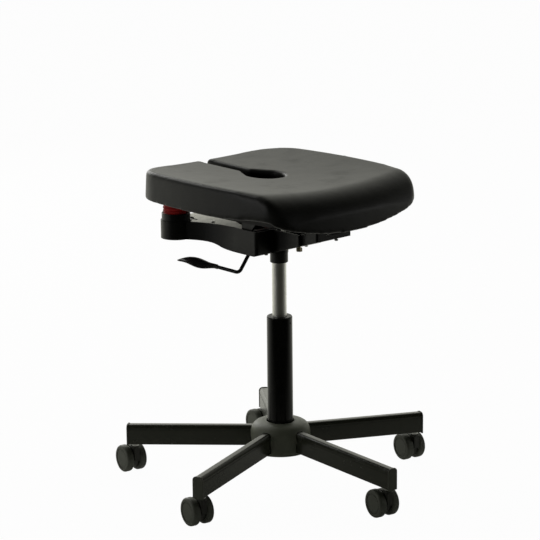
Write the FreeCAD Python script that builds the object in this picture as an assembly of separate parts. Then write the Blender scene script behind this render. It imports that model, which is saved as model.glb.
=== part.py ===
import FreeCAD, Part
import math
import os

# Height adjustable swivel stool on five twin wheel casters. All lengths are in millimetres and +Z is up.
# The origin lies on the floor under the column. The seat faces -Y and its cut-out opens to +Y.
# The lift is modelled at the height at which the stool was photographed.

# General clearances
RUNNING_FIT = 0.05
SEAT_GAP = 0.3
CUT_OVERRUN = 1.0

# Casters: twin wheels that trail behind a stem
WHEEL_RADIUS = 27.2
WHEEL_WIDTH = 16.0
WHEEL_MIDDLE = 14.2
WHEEL_ROUND = 4.5
WHEEL_CAP_RADIUS = 18.0
WHEEL_CAP_DEPTH = 1.4
WHEEL_CAP_GROOVE = 1.6
WHEEL_CAP_CROWN = 0.9
WHEEL_OUTER_WALL = 2.5
AXLE_RADIUS = 3.0
AXLE_END_GAP = 0.5
CASTER_TRAIL = 17.3
CASTER_TRAIL_ANGLE = 80.3
CASTER_GAP = 0.5
CASTER_DISC_RADIUS = 20.5
CASTER_HOOD_RADIUS = 26.0
CASTER_HOOD_THICKNESS = 3.5
CASTER_NECK_RADIUS = 8.6
CASTER_NECK_HEIGHT = 5.6
CASTER_NECK_ROUND = 1.2
STEM_RADIUS = 5.5
STEM_LENGTH = 34.0
STEM_PIN_RADIUS = 4.0
STEM_PIN_LENGTH = 22.0
STEM_RING_RADIUS = 7.4
STEM_RING_HEIGHT = 4.0
STEM_CHAMFER = 1.5

# Five star base of rectangular steel tube
ARM_COUNT = 5
ARM_FIRST_ANGLE = -90.0
ARM_BOTTOM = 60.5
ARM_HEIGHT = 40.0
ARM_WIDTH = 20.5
ARM_WALL = 2.0
ARM_TOP_ROUND = 7.0
ARM_TIP_RADIUS = 308.0
ARM_DROP = 16.0
ARM_GROOVE_DROP = 9.0
ARM_GROOVE_HEIGHT = 1.6
ARM_GROOVE_DEPTH = 0.7
SOCKET_RADIUS = 8.0
SOCKET_HEIGHT = 36.0
STEM_INSET = 11.4
END_CAP_THICKNESS = 3.0
END_CAP_OVERHANG = 0.9
END_CAP_LIP = 1.6
END_CAP_PLUG = 2.4
END_CAP_ROUND = 0.8

# Hub and its cover
HUB_CORE_RADIUS = 40.0
HUB_CORE_HEIGHT = 38.0
HUB_CORE_RISE = 14.6
COVER_RADIUS = 58.5
COVER_BAND_RADIUS = 57.4
COVER_WALL = 2.5
COVER_BOTTOM = 67.5
COVER_SEAM = 93.0
COVER_SHOULDER = 101.0
COVER_TOP = 126.0
COVER_NECK_RADIUS = 27.6
COVER_ARM_GAP = 0.6
COVER_CURVE_SHARE = 0.72

# Column and the bush that guides the lift
COLUMN_RADIUS = 25.0
COLUMN_WALL = 2.0
COLUMN_TOP = 334.5
COLUMN_BOTTOM = 62.0
COLUMN_TURN_DOWN = 0.3
COLUMN_STEP_RISE = 1.5
COLUMN_PLATE_THICKNESS = 4.0
COLUMN_PLATE_RISE = 5.0
COLUMN_HOLE_RADIUS = 1.9
COLUMN_HOLE_DROP = 9.5
COLUMN_HOLE_ANGLE = -75.0
COLUMN_NOTCH_DROP = 3.6
COLUMN_NOTCH_ANGLE = -116.0
COLUMN_NOTCH_RADIUS = 1.6
BUSH_LENGTH = 66.0
BUSH_FLANGE_RADIUS = 24.2
BUSH_FLANGE_HEIGHT = 2.5
BUSH_ROUND = 0.8

# Gas lift: rod, thrust bearing, cylinder and release button
ROD_RADIUS = 5.0
ROD_TAIL = 5.0
ROD_TOP = 274.0
ROD_SHOULDER_RADIUS = 9.0
ROD_SHOULDER_HEIGHT = 3.0
RACE_RADIUS = 13.0
RACE_THICKNESS = 2.0
BALL_RADIUS = 1.5
BALL_CIRCLE_RADIUS = 9.5
BALL_COUNT = 12
BALL_GAP = 0.1
CLIP_RADIUS = 9.0
CLIP_THICKNESS = 1.2
CLIP_MOUTH_ANGLE = 70.0
BUMPER_RADIUS = 12.5
BUMPER_HEIGHT = 11.0
BUMPER_ROUND = 2.5
PISTON_HEIGHT = 12.0
CYLINDER_RADIUS = 14.0
CYLINDER_WALL = 2.0
CYLINDER_BOTTOM = 195.0
CYLINDER_TOP = 505.0
CYLINDER_HEAD = 36.0
CYLINDER_ROUND = 1.0
SEAL_HEIGHT = 12.0
BUTTON_RADIUS = 4.0
BUTTON_LENGTH = 26.0
BUTTON_RISE = 7.0
BUTTON_BORE_DEPTH = 27.0
BUTTON_ROUND = 0.8
COLLAR_RADIUS = 17.4
COLLAR_HEIGHT = 19.5
COLLAR_ROUND = 1.0

# Mechanism housing: an open cast tray with two rear spring arms and a front hinge arm
HOUSING_BOTTOM = 472.0
HOUSING_TOP = 520.0
HOUSING_WALL = 3.5
HOUSING_HALF_WIDTH = 86.0
HOUSING_FRONT = -31.0
HOUSING_REAR = 88.0
HOUSING_CORNER = 6.0
UNDERSIDE_RISE_START = -24.0
FRONT_ARM_HALF_WIDTH = 44.5
FRONT_ARM_END = -154.0
FRONT_ARM_END_BOTTOM = 514.0
FRONT_ARM_CORNER = 4.0
FRONT_NECK_START = -103.0
FRONT_NECK_END = -125.0
FRONT_NECK_DEPTH = 8.0
FRONT_BLOCK_TOP = 547.0
FRONT_BLOCK_SLOT = 20.0
BOSS_X = 115.8
BOSS_Y = 168.8
BOSS_RADIUS = 30.0
BOSS_BOTTOM = 484.5
BOSS_FLOOR = 12.0
ARM_RISE_START = 20.0
ARM_RISE_END = 127.0
REAR_ARM_SIDE_START = 34.0
REAR_ARM_SIDE_BEND = 84.0
REAR_ARM_SIDE_LEAD = 26.0
REAR_ARM_INNER_START = 30.0
REAR_ARM_INNER_X = 66.0
REAR_ARM_INNER_Y = 150.0
REAR_ARM_END_ANGLE = 42.0
REAR_ARM_JOIN_ANGLE = 268.0
NECK_RING_RADIUS = 18.3
NECK_RING_HEIGHT = 8.0
TAPER_BOSS_RADIUS = 20.0
TAPER_BOSS_TOP = 500.0
POST_RADIUS = 5.0
FRONT_POST_X = 64.0
FRONT_POST_Y = 26.0
REAR_POST_X = 74.0
REAR_POST_Y = 108.0
HOUSING_SCREW_RADIUS = 3.6
HOUSING_SCREW_HEAD = 2.6
HOUSING_SCREW_DEPTH = 6.0
FLOOR_SCREW_X = 52.0
FLOOR_SCREW_Y = -21.0
BLOCK_SCREW_X = 12.0
BLOCK_SCREW_Y = -147.0
LEVER_SLOT_WIDTH = 18.0
LEVER_SLOT_LENGTH = 19.0
LEVER_SLOT_LIP = 1.5

# Light sheet on the tray and between its rear arms
COVER_PLATE_THICKNESS = 1.5
COVER_PLATE_DROP = 2.5
COVER_PLATE_INSET = 9.0
COVER_PLATE_ARM_INSET = 6.3
COVER_PLATE_FRONT = -12.0
COVER_PLATE_SIDE_Y = 68.0
COVER_PLATE_INNER_X = 38.0
COVER_PLATE_INNER_Y = 85.5
COVER_PLATE_REAR_X = 78.0
COVER_PLATE_REAR_Y = 197.0
COVER_PLATE_SLOT_X = 82.0
COVER_PLATE_SLOT_Y = 151.0
COVER_PLATE_SLOT_LENGTH = 14.0
COVER_PLATE_SLOT_WIDTH = 6.0
COVER_SCREW_RADIUS = 3.6
COVER_SCREW_HEAD = 1.8
COVER_SCREW_SHANK_RADIUS = 1.9
COVER_SCREW_SHANK_LENGTH = 10.0

# Release lever
LEVER_PIVOT_X = -58.0
LEVER_PIVOT_Z = 497.0
LEVER_PIN_RADIUS = 3.0
LEVER_PIN_LENGTH = 28.0
LEVER_SLEEVE_RADIUS = 6.0
LEVER_SLEEVE_LENGTH = 19.0
LEVER_EAR_THICKNESS = 4.0
LEVER_EAR_WIDTH = 13.0
LEVER_TAB_WIDTH = 12.0
LEVER_TAB_THICKNESS = 3.0
LEVER_TAB_REACH = 2.0
LEVER_ROD_RADIUS = 3.5
LEVER_BEND_X = -99.0
LEVER_BEND_Y = 4.0
LEVER_BEND_Z = 438.5
LEVER_ELBOW_RADIUS = 8.5
PADDLE_ROOT_X = -113.5
PADDLE_ROOT_Y = 50.0
PADDLE_ROOT_Z = 444.5
PADDLE_TIP_X = -149.8
PADDLE_TIP_Y = 125.0
PADDLE_TIP_Z = 451.4
PADDLE_ROLL_ANGLE = 20.0
PADDLE_WIDTH = 28.0
PADDLE_THICKNESS = 10.4
PADDLE_BOW = 3.9
PADDLE_SOCKET_DEPTH = 18.0
PADDLE_PLACE_SHARES = (0.0, 0.22, 0.46, 0.71, 0.9, 1.0)
PADDLE_WIDTH_SHARES = (0.34, 0.56, 1.0, 0.78, 0.38, 0.13)
PADDLE_THICKNESS_SHARES = (0.9, 1.0, 0.86, 0.68, 0.5, 0.2)
PADDLE_BOW_SHARES = (0.0, 0.0, 0.3, 1.0, 0.5, 0.0)

# Rear springs: ribbed rubber bellows in cups
CUP_RADIUS = 27.8
CUP_HEIGHT = 14.0
CUP_WALL = 1.7
CUP_FLOOR = 2.5
CUP_ROUND = 1.0
BELLOWS_RADIUS = 25.4
BELLOWS_RIB_DEPTH = 1.9
BELLOWS_WALL = 5.0
BELLOWS_RIBS = 6
BELLOWS_RIB_FLAT_SHARE = 0.3
STUD_RADIUS = 4.0
STUD_RISE = 22.0
STUD_DEPTH = 10.0

# Front hinge of the seat
HINGE_Y = -139.0
HINGE_Z = 535.0
HINGE_PIN_RADIUS = 5.0
HINGE_PIN_INSET = 1.5
HINGE_LUG_RADIUS = 10.5
HINGE_LUG_GAP = 0.5
TENSION_BOLT_X = -31.0
TENSION_BOLT_Y = -91.0
TENSION_BOLT_RADIUS = 3.0
TENSION_HEAD_RADIUS = 6.0
TENSION_HEAD_HEIGHT = 6.5
TENSION_BOLT_LENGTH = 22.0

# Seat support plate and board
PLATE_BOTTOM = 560.0
PLATE_THICKNESS = 3.0
PLATE_HALF_WIDTH = 148.0
PLATE_FRONT = -158.0
PLATE_REAR = 200.0
PLATE_CORNER = 34.0
CHEEK_THICKNESS = 2.6
CHEEK_WALL_GAP = 2.0
CHEEK_FOOT = 508.0
CHEEK_FRONT_TOP = -46.0
CHEEK_FRONT_FOOT = -1.5
CHEEK_REAR = 16.0
BOARD_THICKNESS = 12.0
BOARD_INSET = 19.0
SCREW_HEAD_RADIUS = 4.5
SCREW_HEAD_HEIGHT = 2.4
SCREW_SHANK_RADIUS = 2.4
SCREW_SHANK_LENGTH = 13.0
SCREW_X = 120.0
SCREW_FRONT_Y = -100.0
SCREW_MIDDLE_Y = 30.0
SCREW_REAR_Y = 120.0

# Seat cushion: dished top, waterfall front, rear slot that ends in a rounded relief hole
SEAT_HALF_WIDTH = 199.6
SEAT_SIDE_BOW_RADIUS = 1200.0
SEAT_SIDE_MIDDLE = 10.0
SEAT_REAR = 225.0
SEAT_REAR_BOW_RADIUS = 1225.0
SEAT_REAR_CORNER = 88.4
SEAT_FRONT = -208.0
SEAT_FRONT_BOW_RADIUS = 1525.0
SEAT_FRONT_CORNER = 37.5
SEAT_FOAM_THICKNESS = 35.2
SEAT_DISH = 15.2
SEAT_REAR_RISE = 4.0
SEAT_FRONT_RISE = 5.9
SEAT_ROLL_START = -154.8
SEAT_ROLL_SETBACK = 18.8
SEAT_ROLL_RADIUS = 55.6
SEAT_ROLL_END_SHARE = 0.93
SEAT_SIDE_LIFT = 8.2
SEAT_SIDE_RISE = 6.0
SEAT_RISE_START = -42.0
SEAT_RISE_END = -157.0
SEAT_SKIRT_DROP = 20.2
SEAT_SKIRT_THICKNESS = 28.0
SEAT_DRAFT = 3.0
SEAT_EDGE_ROUND = 7.0
SEAT_BLANK_MARGIN = 25.0
SEAT_COLUMN_SHARES = (0.0, 0.2, 0.4, 0.6, 0.8, 0.88, 0.94, 1.0, 1.06, 1.13)
SEAT_ROW_SHARES = (1.12, 1.0, 0.8, 0.6, 0.4, 0.2, 0.0, -0.2, -0.4, -0.55, -0.65, -0.7, -0.74, -0.78, -0.81,
                   -0.84, -0.87, -0.9, -0.93, -0.96, -1.0, -1.05, -1.12)
RELIEF_Y = 39.0
RELIEF_RADIUS = 36.0
SLOT_THROAT_WIDTH = 21.4
SLOT_REAR_WIDTH = 23.0
SLOT_THROAT_Y = 97.0

POST_PLACES = ((FRONT_POST_X, FRONT_POST_Y), (REAR_POST_X, REAR_POST_Y))

ORIGIN = FreeCAD.Vector(0, 0, 0)
UP = FreeCAD.Vector(0, 0, 1)
ALONG_X = FreeCAD.Vector(1, 0, 0)
ALONG_Y = FreeCAD.Vector(0, 1, 0)

LEVER_BEND = FreeCAD.Vector(LEVER_BEND_X, LEVER_BEND_Y, LEVER_BEND_Z)
PADDLE_ROOT = FreeCAD.Vector(PADDLE_ROOT_X, PADDLE_ROOT_Y, PADDLE_ROOT_Z)
PADDLE_TIP = FreeCAD.Vector(PADDLE_TIP_X, PADDLE_TIP_Y, PADDLE_TIP_Z)

ARM_TOP = ARM_BOTTOM + ARM_HEIGHT
STEM_CIRCLE_RADIUS = ARM_TIP_RADIUS - STEM_INSET
STEM_RING_BOTTOM = ARM_BOTTOM - STEM_RING_HEIGHT
HUB_CORE_BOTTOM = ARM_BOTTOM + HUB_CORE_RISE
HUB_CORE_TOP = HUB_CORE_BOTTOM + HUB_CORE_HEIGHT
COLUMN_BORE = COLUMN_RADIUS - COLUMN_WALL
COLUMN_FOOT_RADIUS = COLUMN_RADIUS - COLUMN_TURN_DOWN
COLUMN_PLATE_BOTTOM = COLUMN_BOTTOM + COLUMN_PLATE_RISE
COLUMN_PLATE_TOP = COLUMN_PLATE_BOTTOM + COLUMN_PLATE_THICKNESS
UPPER_RACE_BOTTOM = COLUMN_PLATE_TOP + RACE_THICKNESS + 2 * BALL_RADIUS + BALL_GAP
SHOULDER_BOTTOM = UPPER_RACE_BOTTOM + RACE_THICKNESS
SHOULDER_TOP = SHOULDER_BOTTOM + ROD_SHOULDER_HEIGHT
CYLINDER_BORE = CYLINDER_RADIUS - CYLINDER_WALL
BUTTON_TOP = CYLINDER_TOP + BUTTON_RISE
NECK_RING_BOTTOM = HOUSING_BOTTOM - NECK_RING_HEIGHT
COVER_PLATE_BOTTOM = HOUSING_TOP - COVER_PLATE_DROP - COVER_PLATE_THICKNESS
CUP_TOP = HOUSING_TOP + CUP_HEIGHT
BOARD_BOTTOM = PLATE_BOTTOM + PLATE_THICKNESS
BOARD_TOP = BOARD_BOTTOM + BOARD_THICKNESS
SEAT_SURFACE = BOARD_TOP + SEAT_FOAM_THICKNESS
SEAT_CEILING = SEAT_SURFACE + SEAT_DISH + SEAT_BLANK_MARGIN
SEAT_SIDE_BOTTOM = PLATE_BOTTOM + SEAT_SIDE_LIFT
SEAT_SKIRT_BOTTOM = PLATE_BOTTOM - SEAT_SKIRT_DROP
SEAT_SKIRT_END = SEAT_SIDE_BOTTOM + SEAT_SIDE_RISE
FRONT_SLOPE = (FRONT_ARM_END_BOTTOM - HOUSING_BOTTOM) / (UNDERSIDE_RISE_START - FRONT_ARM_END)


def vector(x, y, z=0.0):
    return FreeCAD.Vector(x, y, z)


def disc(radius, bottom, top, x=0.0, y=0.0):
    """Upright cylinder between two heights."""
    return Part.makeCylinder(radius, top - bottom, vector(x, y, bottom))


def ring(outer, inner, bottom, top, x=0.0, y=0.0):
    """Upright tube between two heights."""
    bore = disc(inner, bottom - CUT_OVERRUN, top + CUT_OVERRUN, x, y)
    return disc(outer, bottom, top, x, y).cut(bore)


def block(x0, x1, y0, y1, z0, z1):
    """Box between two corners."""
    return Part.makeBox(x1 - x0, y1 - y0, z1 - z0, vector(x0, y0, z0))


def prism(points, bottom, top):
    """Upright prism over a plan outline of straight edges."""
    corners = [vector(x, y, bottom) for x, y in points]
    face = Part.Face(Part.makePolygon(corners + corners[:1]))
    return face.extrude(vector(0, 0, top - bottom))


def side_prism(points, x0, x1):
    """Prism along X over an outline given as (y, z)."""
    corners = [vector(x0, y, z) for y, z in points]
    face = Part.Face(Part.makePolygon(corners + corners[:1]))
    return face.extrude(vector(x1 - x0, 0, 0))


def revolve(points):
    """Solid of revolution about Z from an outline given as (radius, z)."""
    corners = [vector(r, 0, z) for r, z in points]
    face = Part.Face(Part.makePolygon(corners + corners[:1]))
    return face.revolve(ORIGIN, UP, 360)


def turned(shape, degrees):
    """Copy turned about the column axis."""
    copy = shape.copy()
    copy.rotate(ORIGIN, UP, degrees)
    return copy


def moved(shape, x, y, z=0.0):
    copy = shape.copy()
    copy.translate(vector(x, y, z))
    return copy


def mirrored(shape):
    """Copy mirrored to the other side of the seat."""
    return shape.mirror(ORIGIN, ALONG_X)


def fuse(shapes):
    return shapes[0].fuse(shapes[1:]).removeSplitter()


def group(shapes):
    return Part.makeCompound(shapes)


def round_rims(shape, radius, heights):
    """Fillets the circular edges that lie at the given heights."""
    rims = []
    for edge in shape.Edges:
        box = edge.BoundBox
        flat = box.ZLength < RUNNING_FIT
        level = any(abs(box.ZMin - height) < RUNNING_FIT for height in heights)
        if flat and level and isinstance(edge.Curve, Part.Circle):
            rims.append(edge)
    return shape.makeFillet(radius, rims)


def save(name, shape):
    shape.exportStep("parts/" + name + ".step")


# Base: arms, hub and column


def arm_profile(inset, groove):
    """Closed section of the arm tube in the YZ plane at x = 0, round at the top corners."""
    half = 0.5 * ARM_WIDTH - inset
    low = ARM_BOTTOM + inset
    high = ARM_TOP - inset
    corner = ARM_TOP_ROUND - inset
    bend = corner * (1.0 - math.sqrt(0.5))
    groove_top = ARM_TOP - ARM_GROOVE_DROP
    groove_bottom = groove_top - ARM_GROOVE_HEIGHT
    right = [vector(0, half, low)]
    if groove:
        floor = half - ARM_GROOVE_DEPTH
        right += [vector(0, half, groove_bottom), vector(0, floor, groove_bottom)]
        right += [vector(0, floor, groove_top), vector(0, half, groove_top)]
    right.append(vector(0, half, high - corner))
    left = [vector(0, -point.y, point.z) for point in reversed(right)]
    edges = [Part.makeLine(a, b) for a, b in zip(right, right[1:])]
    edges.append(Part.Arc(right[-1], vector(0, half - bend, high - bend),
                          vector(0, half - corner, high)).toShape())
    edges.append(Part.makeLine(vector(0, half - corner, high), vector(0, corner - half, high)))
    edges.append(Part.Arc(vector(0, corner - half, high), vector(0, bend - half, high - bend),
                          left[0]).toShape())
    edges += [Part.makeLine(a, b) for a, b in zip(left, left[1:])]
    edges.append(Part.makeLine(left[-1], right[0]))
    return Part.Wire(edges)


def arm_run(profile, length):
    """Solid over a section at the column's axis, run outwards and down along an arm."""
    face = Part.Face(profile)
    face.translate(vector(0, 0, ARM_DROP))
    return face.extrude(vector(length, 0, -ARM_DROP * length / ARM_TIP_RADIUS))


def make_arm():
    """Arm tube that falls outwards along +X, with the welded upright socket for a caster stem."""
    tube = arm_run(arm_profile(0.0, True), ARM_TIP_RADIUS)
    bore = arm_run(arm_profile(ARM_WALL, False), ARM_TIP_RADIUS + CUT_OVERRUN)
    socket_top = ARM_BOTTOM + SOCKET_HEIGHT
    tube = tube.cut(bore)
    tube = tube.fuse(disc(SOCKET_RADIUS, ARM_BOTTOM, socket_top, STEM_CIRCLE_RADIUS))
    stem_bore = STEM_RADIUS + RUNNING_FIT
    tube = tube.cut(disc(stem_bore, ARM_BOTTOM - CUT_OVERRUN, socket_top + CUT_OVERRUN, STEM_CIRCLE_RADIUS))
    return tube.cut(disc(HUB_CORE_RADIUS, ARM_BOTTOM - CUT_OVERRUN, ARM_TOP + ARM_DROP + CUT_OVERRUN))


def make_end_cap():
    """Moulded cap that closes an arm tube and laps a little below it."""
    face = Part.Face(arm_profile(-END_CAP_OVERHANG, False))
    plate = face.extrude(vector(END_CAP_THICKNESS, 0, 0))
    half = 0.5 * ARM_WIDTH + END_CAP_OVERHANG
    low = ARM_BOTTOM - END_CAP_OVERHANG
    lip = block(0, END_CAP_THICKNESS, -half, half, low - END_CAP_LIP, low + END_CAP_LIP)
    plate = fuse([plate, lip])
    outer = [edge for edge in plate.Edges if edge.BoundBox.XMin > END_CAP_THICKNESS - RUNNING_FIT]
    plate = plate.makeFillet(END_CAP_ROUND, outer)
    plug = arm_run(arm_profile(ARM_WALL + RUNNING_FIT, False), -END_CAP_PLUG)
    return moved(plate.fuse(moved(plug, 0, 0, -ARM_DROP)), ARM_TIP_RADIUS, 0)


def make_hub_core():
    """Steel ring that the arms are welded to and the column is pressed into."""
    return ring(HUB_CORE_RADIUS, COLUMN_FOOT_RADIUS, HUB_CORE_BOTTOM, HUB_CORE_TOP)


def arm_openings():
    """Openings that leave room for the five arms in the hub cover."""
    slot = arm_run(arm_profile(-COVER_ARM_GAP, False), COVER_RADIUS + CUT_OVERRUN)
    slot = slot.cut(disc(HUB_CORE_RADIUS - CUT_OVERRUN, COLUMN_BOTTOM - ARM_HEIGHT, COVER_TOP))
    return [turned(slot, angle) for angle in arm_angles()]


def arm_angles():
    step = 360.0 / ARM_COUNT
    return [ARM_FIRST_ANGLE + step * index for index in range(ARM_COUNT)]


def dome_face(radius, top, neck):
    """Half section of the hub dome, from its lower rim over a smooth crown to the column."""
    shoulder = vector(radius, 0, COVER_SHOULDER)
    crown = vector(neck, 0, top)
    rise = top - COVER_SHOULDER
    span = radius - neck
    control = [shoulder, vector(radius, 0, COVER_SHOULDER + COVER_CURVE_SHARE * rise),
               vector(neck + COVER_CURVE_SHARE * span, 0, top), crown]
    curve = Part.BezierCurve()
    curve.setPoles(control)
    low_in = vector(neck, 0, COVER_SEAM)
    low_out = vector(radius, 0, COVER_SEAM)
    edges = [curve.toShape(), Part.makeLine(crown, low_in), Part.makeLine(low_in, low_out),
             Part.makeLine(low_out, shoulder)]
    return Part.Face(Part.Wire(edges))


def make_hub_cover():
    """Moulded hub cover: a dome over a slightly narrower band, with a collar that stands on the hub core."""
    dome = dome_face(COVER_RADIUS, COVER_TOP, COVER_NECK_RADIUS).revolve(ORIGIN, UP, 360)
    band = ring(COVER_BAND_RADIUS, COVER_NECK_RADIUS, COVER_BOTTOM, COVER_SEAM)
    collar = COVER_NECK_RADIUS + COVER_WALL
    inner = dome_face(COVER_RADIUS - COVER_WALL, COVER_TOP - COVER_WALL, collar).revolve(ORIGIN, UP, 360)
    hollow = disc(COVER_BAND_RADIUS - COVER_WALL, COVER_BOTTOM - CUT_OVERRUN, COVER_SEAM)
    clear = disc(collar + CUT_OVERRUN, COVER_BOTTOM - CUT_OVERRUN, HUB_CORE_TOP)
    shell = fuse([dome, band]).cut([inner, hollow, clear])
    return shell.cut(arm_openings())


def radial_cutter(radius, angle, z):
    """Round cutter that pierces one wall of the column at the given angle."""
    reach = COLUMN_RADIUS + CUT_OVERRUN
    inside = COLUMN_BORE - CUT_OVERRUN
    tool = Part.makeCylinder(radius, reach - inside, vector(inside, 0, z), ALONG_X)
    return turned(tool, angle)


def make_column_tube():
    """Outer column, turned down inside the hub, with its welded bottom plate for the rod of the gas lift."""
    step = COVER_TOP + COLUMN_STEP_RISE
    tube = fuse([ring(COLUMN_FOOT_RADIUS, COLUMN_BORE, COLUMN_BOTTOM, step),
                 ring(COLUMN_RADIUS, COLUMN_BORE, step, COLUMN_TOP)])
    plate = ring(COLUMN_BORE, ROD_RADIUS + RUNNING_FIT, COLUMN_PLATE_BOTTOM, COLUMN_PLATE_TOP)
    column = fuse([tube, plate])
    column = column.cut(radial_cutter(COLUMN_HOLE_RADIUS, COLUMN_HOLE_ANGLE, COLUMN_TOP - COLUMN_HOLE_DROP))
    return column.cut(radial_cutter(COLUMN_NOTCH_RADIUS, COLUMN_NOTCH_ANGLE, COLUMN_TOP - COLUMN_NOTCH_DROP))


def make_guide_bush():
    """Plastic bush in the column's mouth that the cylinder slides in."""
    bore = CYLINDER_RADIUS + RUNNING_FIT
    body = disc(COLUMN_BORE - RUNNING_FIT, COLUMN_TOP - BUSH_LENGTH, COLUMN_TOP)
    flange_top = COLUMN_TOP + BUSH_FLANGE_HEIGHT
    flange = disc(BUSH_FLANGE_RADIUS, COLUMN_TOP, flange_top)
    flange = round_rims(flange, BUSH_ROUND, [flange_top])
    low = COLUMN_TOP - BUSH_LENGTH - CUT_OVERRUN
    return fuse([body, flange]).cut(disc(bore, low, flange_top + CUT_OVERRUN))


# Casters


def make_stem():
    """Steel stem: shank in the arm, bright ring below it and the pin that carries the caster."""
    shank_top = ARM_BOTTOM + STEM_LENGTH
    shank = disc(STEM_RADIUS, ARM_BOTTOM, shank_top)
    rim = [e for e in shank.Edges if e.BoundBox.ZMin > shank_top - RUNNING_FIT]
    shank = shank.makeChamfer(STEM_CHAMFER, rim)
    washer = disc(STEM_RING_RADIUS, STEM_RING_BOTTOM, ARM_BOTTOM)
    pin = disc(STEM_PIN_RADIUS, STEM_RING_BOTTOM - STEM_PIN_LENGTH, STEM_RING_BOTTOM)
    return fuse([shank, washer, pin])


def make_caster_body():
    """Plastic body between the wheels, stem on the Z axis and wheel axle at +X."""
    half = WHEEL_MIDDLE - 0.5 * WHEEL_WIDTH - CASTER_GAP
    neck_top = STEM_RING_BOTTOM - SEAT_GAP
    neck_bottom = neck_top - CASTER_NECK_HEIGHT
    disc_plate = Part.makeCylinder(CASTER_DISC_RADIUS, 2 * half,
                                   vector(CASTER_TRAIL, -half, WHEEL_RADIUS), ALONG_Y)
    hood = Part.makeCylinder(CASTER_HOOD_RADIUS, 2 * half, vector(CASTER_TRAIL, -half, WHEEL_RADIUS), ALONG_Y)
    hood_cut = Part.makeCylinder(CASTER_HOOD_RADIUS - CASTER_HOOD_THICKNESS, 2 * half + 2 * CUT_OVERRUN,
                                 vector(CASTER_TRAIL, -half - CUT_OVERRUN, WHEEL_RADIUS), ALONG_Y)
    reach = CASTER_TRAIL + CASTER_HOOD_RADIUS + CUT_OVERRUN
    hood = hood.cut(block(-reach, reach, -reach, reach, -reach, WHEEL_RADIUS))
    hood = hood.cut(hood_cut.cut(disc_plate))
    web = block(-CASTER_NECK_RADIUS, CASTER_TRAIL, -half, half, WHEEL_RADIUS, neck_bottom + CUT_OVERRUN)
    neck = disc(CASTER_NECK_RADIUS, neck_bottom, neck_top)
    neck = round_rims(neck, CASTER_NECK_ROUND, [neck_top, neck_bottom])
    body = fuse([disc_plate, hood, web, neck])
    pin_bottom = STEM_RING_BOTTOM - STEM_PIN_LENGTH
    body = body.cut(disc(STEM_PIN_RADIUS + RUNNING_FIT, pin_bottom - SEAT_GAP, neck_top + CUT_OVERRUN))
    axle = Part.makeCylinder(AXLE_RADIUS, 4 * half, vector(CASTER_TRAIL, -2 * half, WHEEL_RADIUS), ALONG_Y)
    return body.cut(axle)


def make_axle():
    half = WHEEL_MIDDLE + 0.5 * WHEEL_WIDTH - WHEEL_OUTER_WALL - AXLE_END_GAP
    return Part.makeCylinder(AXLE_RADIUS, 2 * half, vector(CASTER_TRAIL, -half, WHEEL_RADIUS), ALONG_Y)


def make_wheel(side):
    """Wheel with rounded rims and a set-in hub disc, on the side (+1 or -1) of the caster."""
    outer = 0.5 * WHEEL_WIDTH
    groove = WHEEL_CAP_RADIUS + WHEEL_CAP_GROOVE
    wheel = disc(WHEEL_RADIUS, -outer, outer)
    wheel = round_rims(wheel, WHEEL_ROUND, [-outer, outer])
    wheel = wheel.cut(ring(groove, WHEEL_CAP_RADIUS, outer - WHEEL_CAP_DEPTH, outer + CUT_OVERRUN))
    wheel = wheel.cut(disc(groove, outer - WHEEL_CAP_DEPTH + WHEEL_CAP_CROWN, outer + CUT_OVERRUN))
    wheel = wheel.cut(disc(AXLE_RADIUS + RUNNING_FIT, -outer - CUT_OVERRUN, outer - WHEEL_OUTER_WALL))
    wheel.rotate(ORIGIN, ALONG_X, -90.0 * side)
    wheel.translate(vector(CASTER_TRAIL, side * WHEEL_MIDDLE, WHEEL_RADIUS))
    return wheel


def on_caster(shape, arm_angle):
    """Places a caster piece at the stem of one arm, with the photographed trail."""
    turn = math.radians(arm_angle)
    placed = turned(shape, CASTER_TRAIL_ANGLE)
    return moved(placed, STEM_CIRCLE_RADIUS * math.cos(turn), STEM_CIRCLE_RADIUS * math.sin(turn))


# Gas lift


def make_race(bottom):
    return ring(RACE_RADIUS, ROD_RADIUS + RUNNING_FIT, bottom, bottom + RACE_THICKNESS)


def make_balls():
    height = COLUMN_PLATE_TOP + RACE_THICKNESS + BALL_RADIUS
    ball = Part.makeSphere(BALL_RADIUS, vector(BALL_CIRCLE_RADIUS, 0, height))
    return group([turned(ball, 360.0 * index / BALL_COUNT) for index in range(BALL_COUNT)])


def make_clip():
    """Open spring clip in the groove below the column's bottom plate."""
    top = COLUMN_PLATE_BOTTOM - SEAT_GAP
    plate = ring(CLIP_RADIUS, ROD_RADIUS - CLIP_THICKNESS, top - CLIP_THICKNESS, top)
    reach = CLIP_RADIUS + CUT_OVERRUN
    half = reach * math.tan(math.radians(0.5 * CLIP_MOUTH_ANGLE))
    mouth = prism([(0, 0), (reach, -half), (reach, half)],
                  top - CLIP_THICKNESS - CUT_OVERRUN, top + CUT_OVERRUN)
    return plate.cut(mouth)


def make_rod():
    """Piston rod with the shoulder that turns on the thrust bearing and the groove for the clip."""
    groove_top = COLUMN_PLATE_BOTTOM - SEAT_GAP
    groove_bottom = groove_top - CLIP_THICKNESS
    rod = disc(ROD_RADIUS, COLUMN_PLATE_BOTTOM - ROD_TAIL, ROD_TOP)
    shoulder = disc(ROD_SHOULDER_RADIUS, SHOULDER_BOTTOM, SHOULDER_TOP)
    groove = ring(ROD_RADIUS + CUT_OVERRUN, ROD_RADIUS - CLIP_THICKNESS, groove_bottom, groove_top)
    return fuse([rod, shoulder]).cut(groove)


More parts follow.
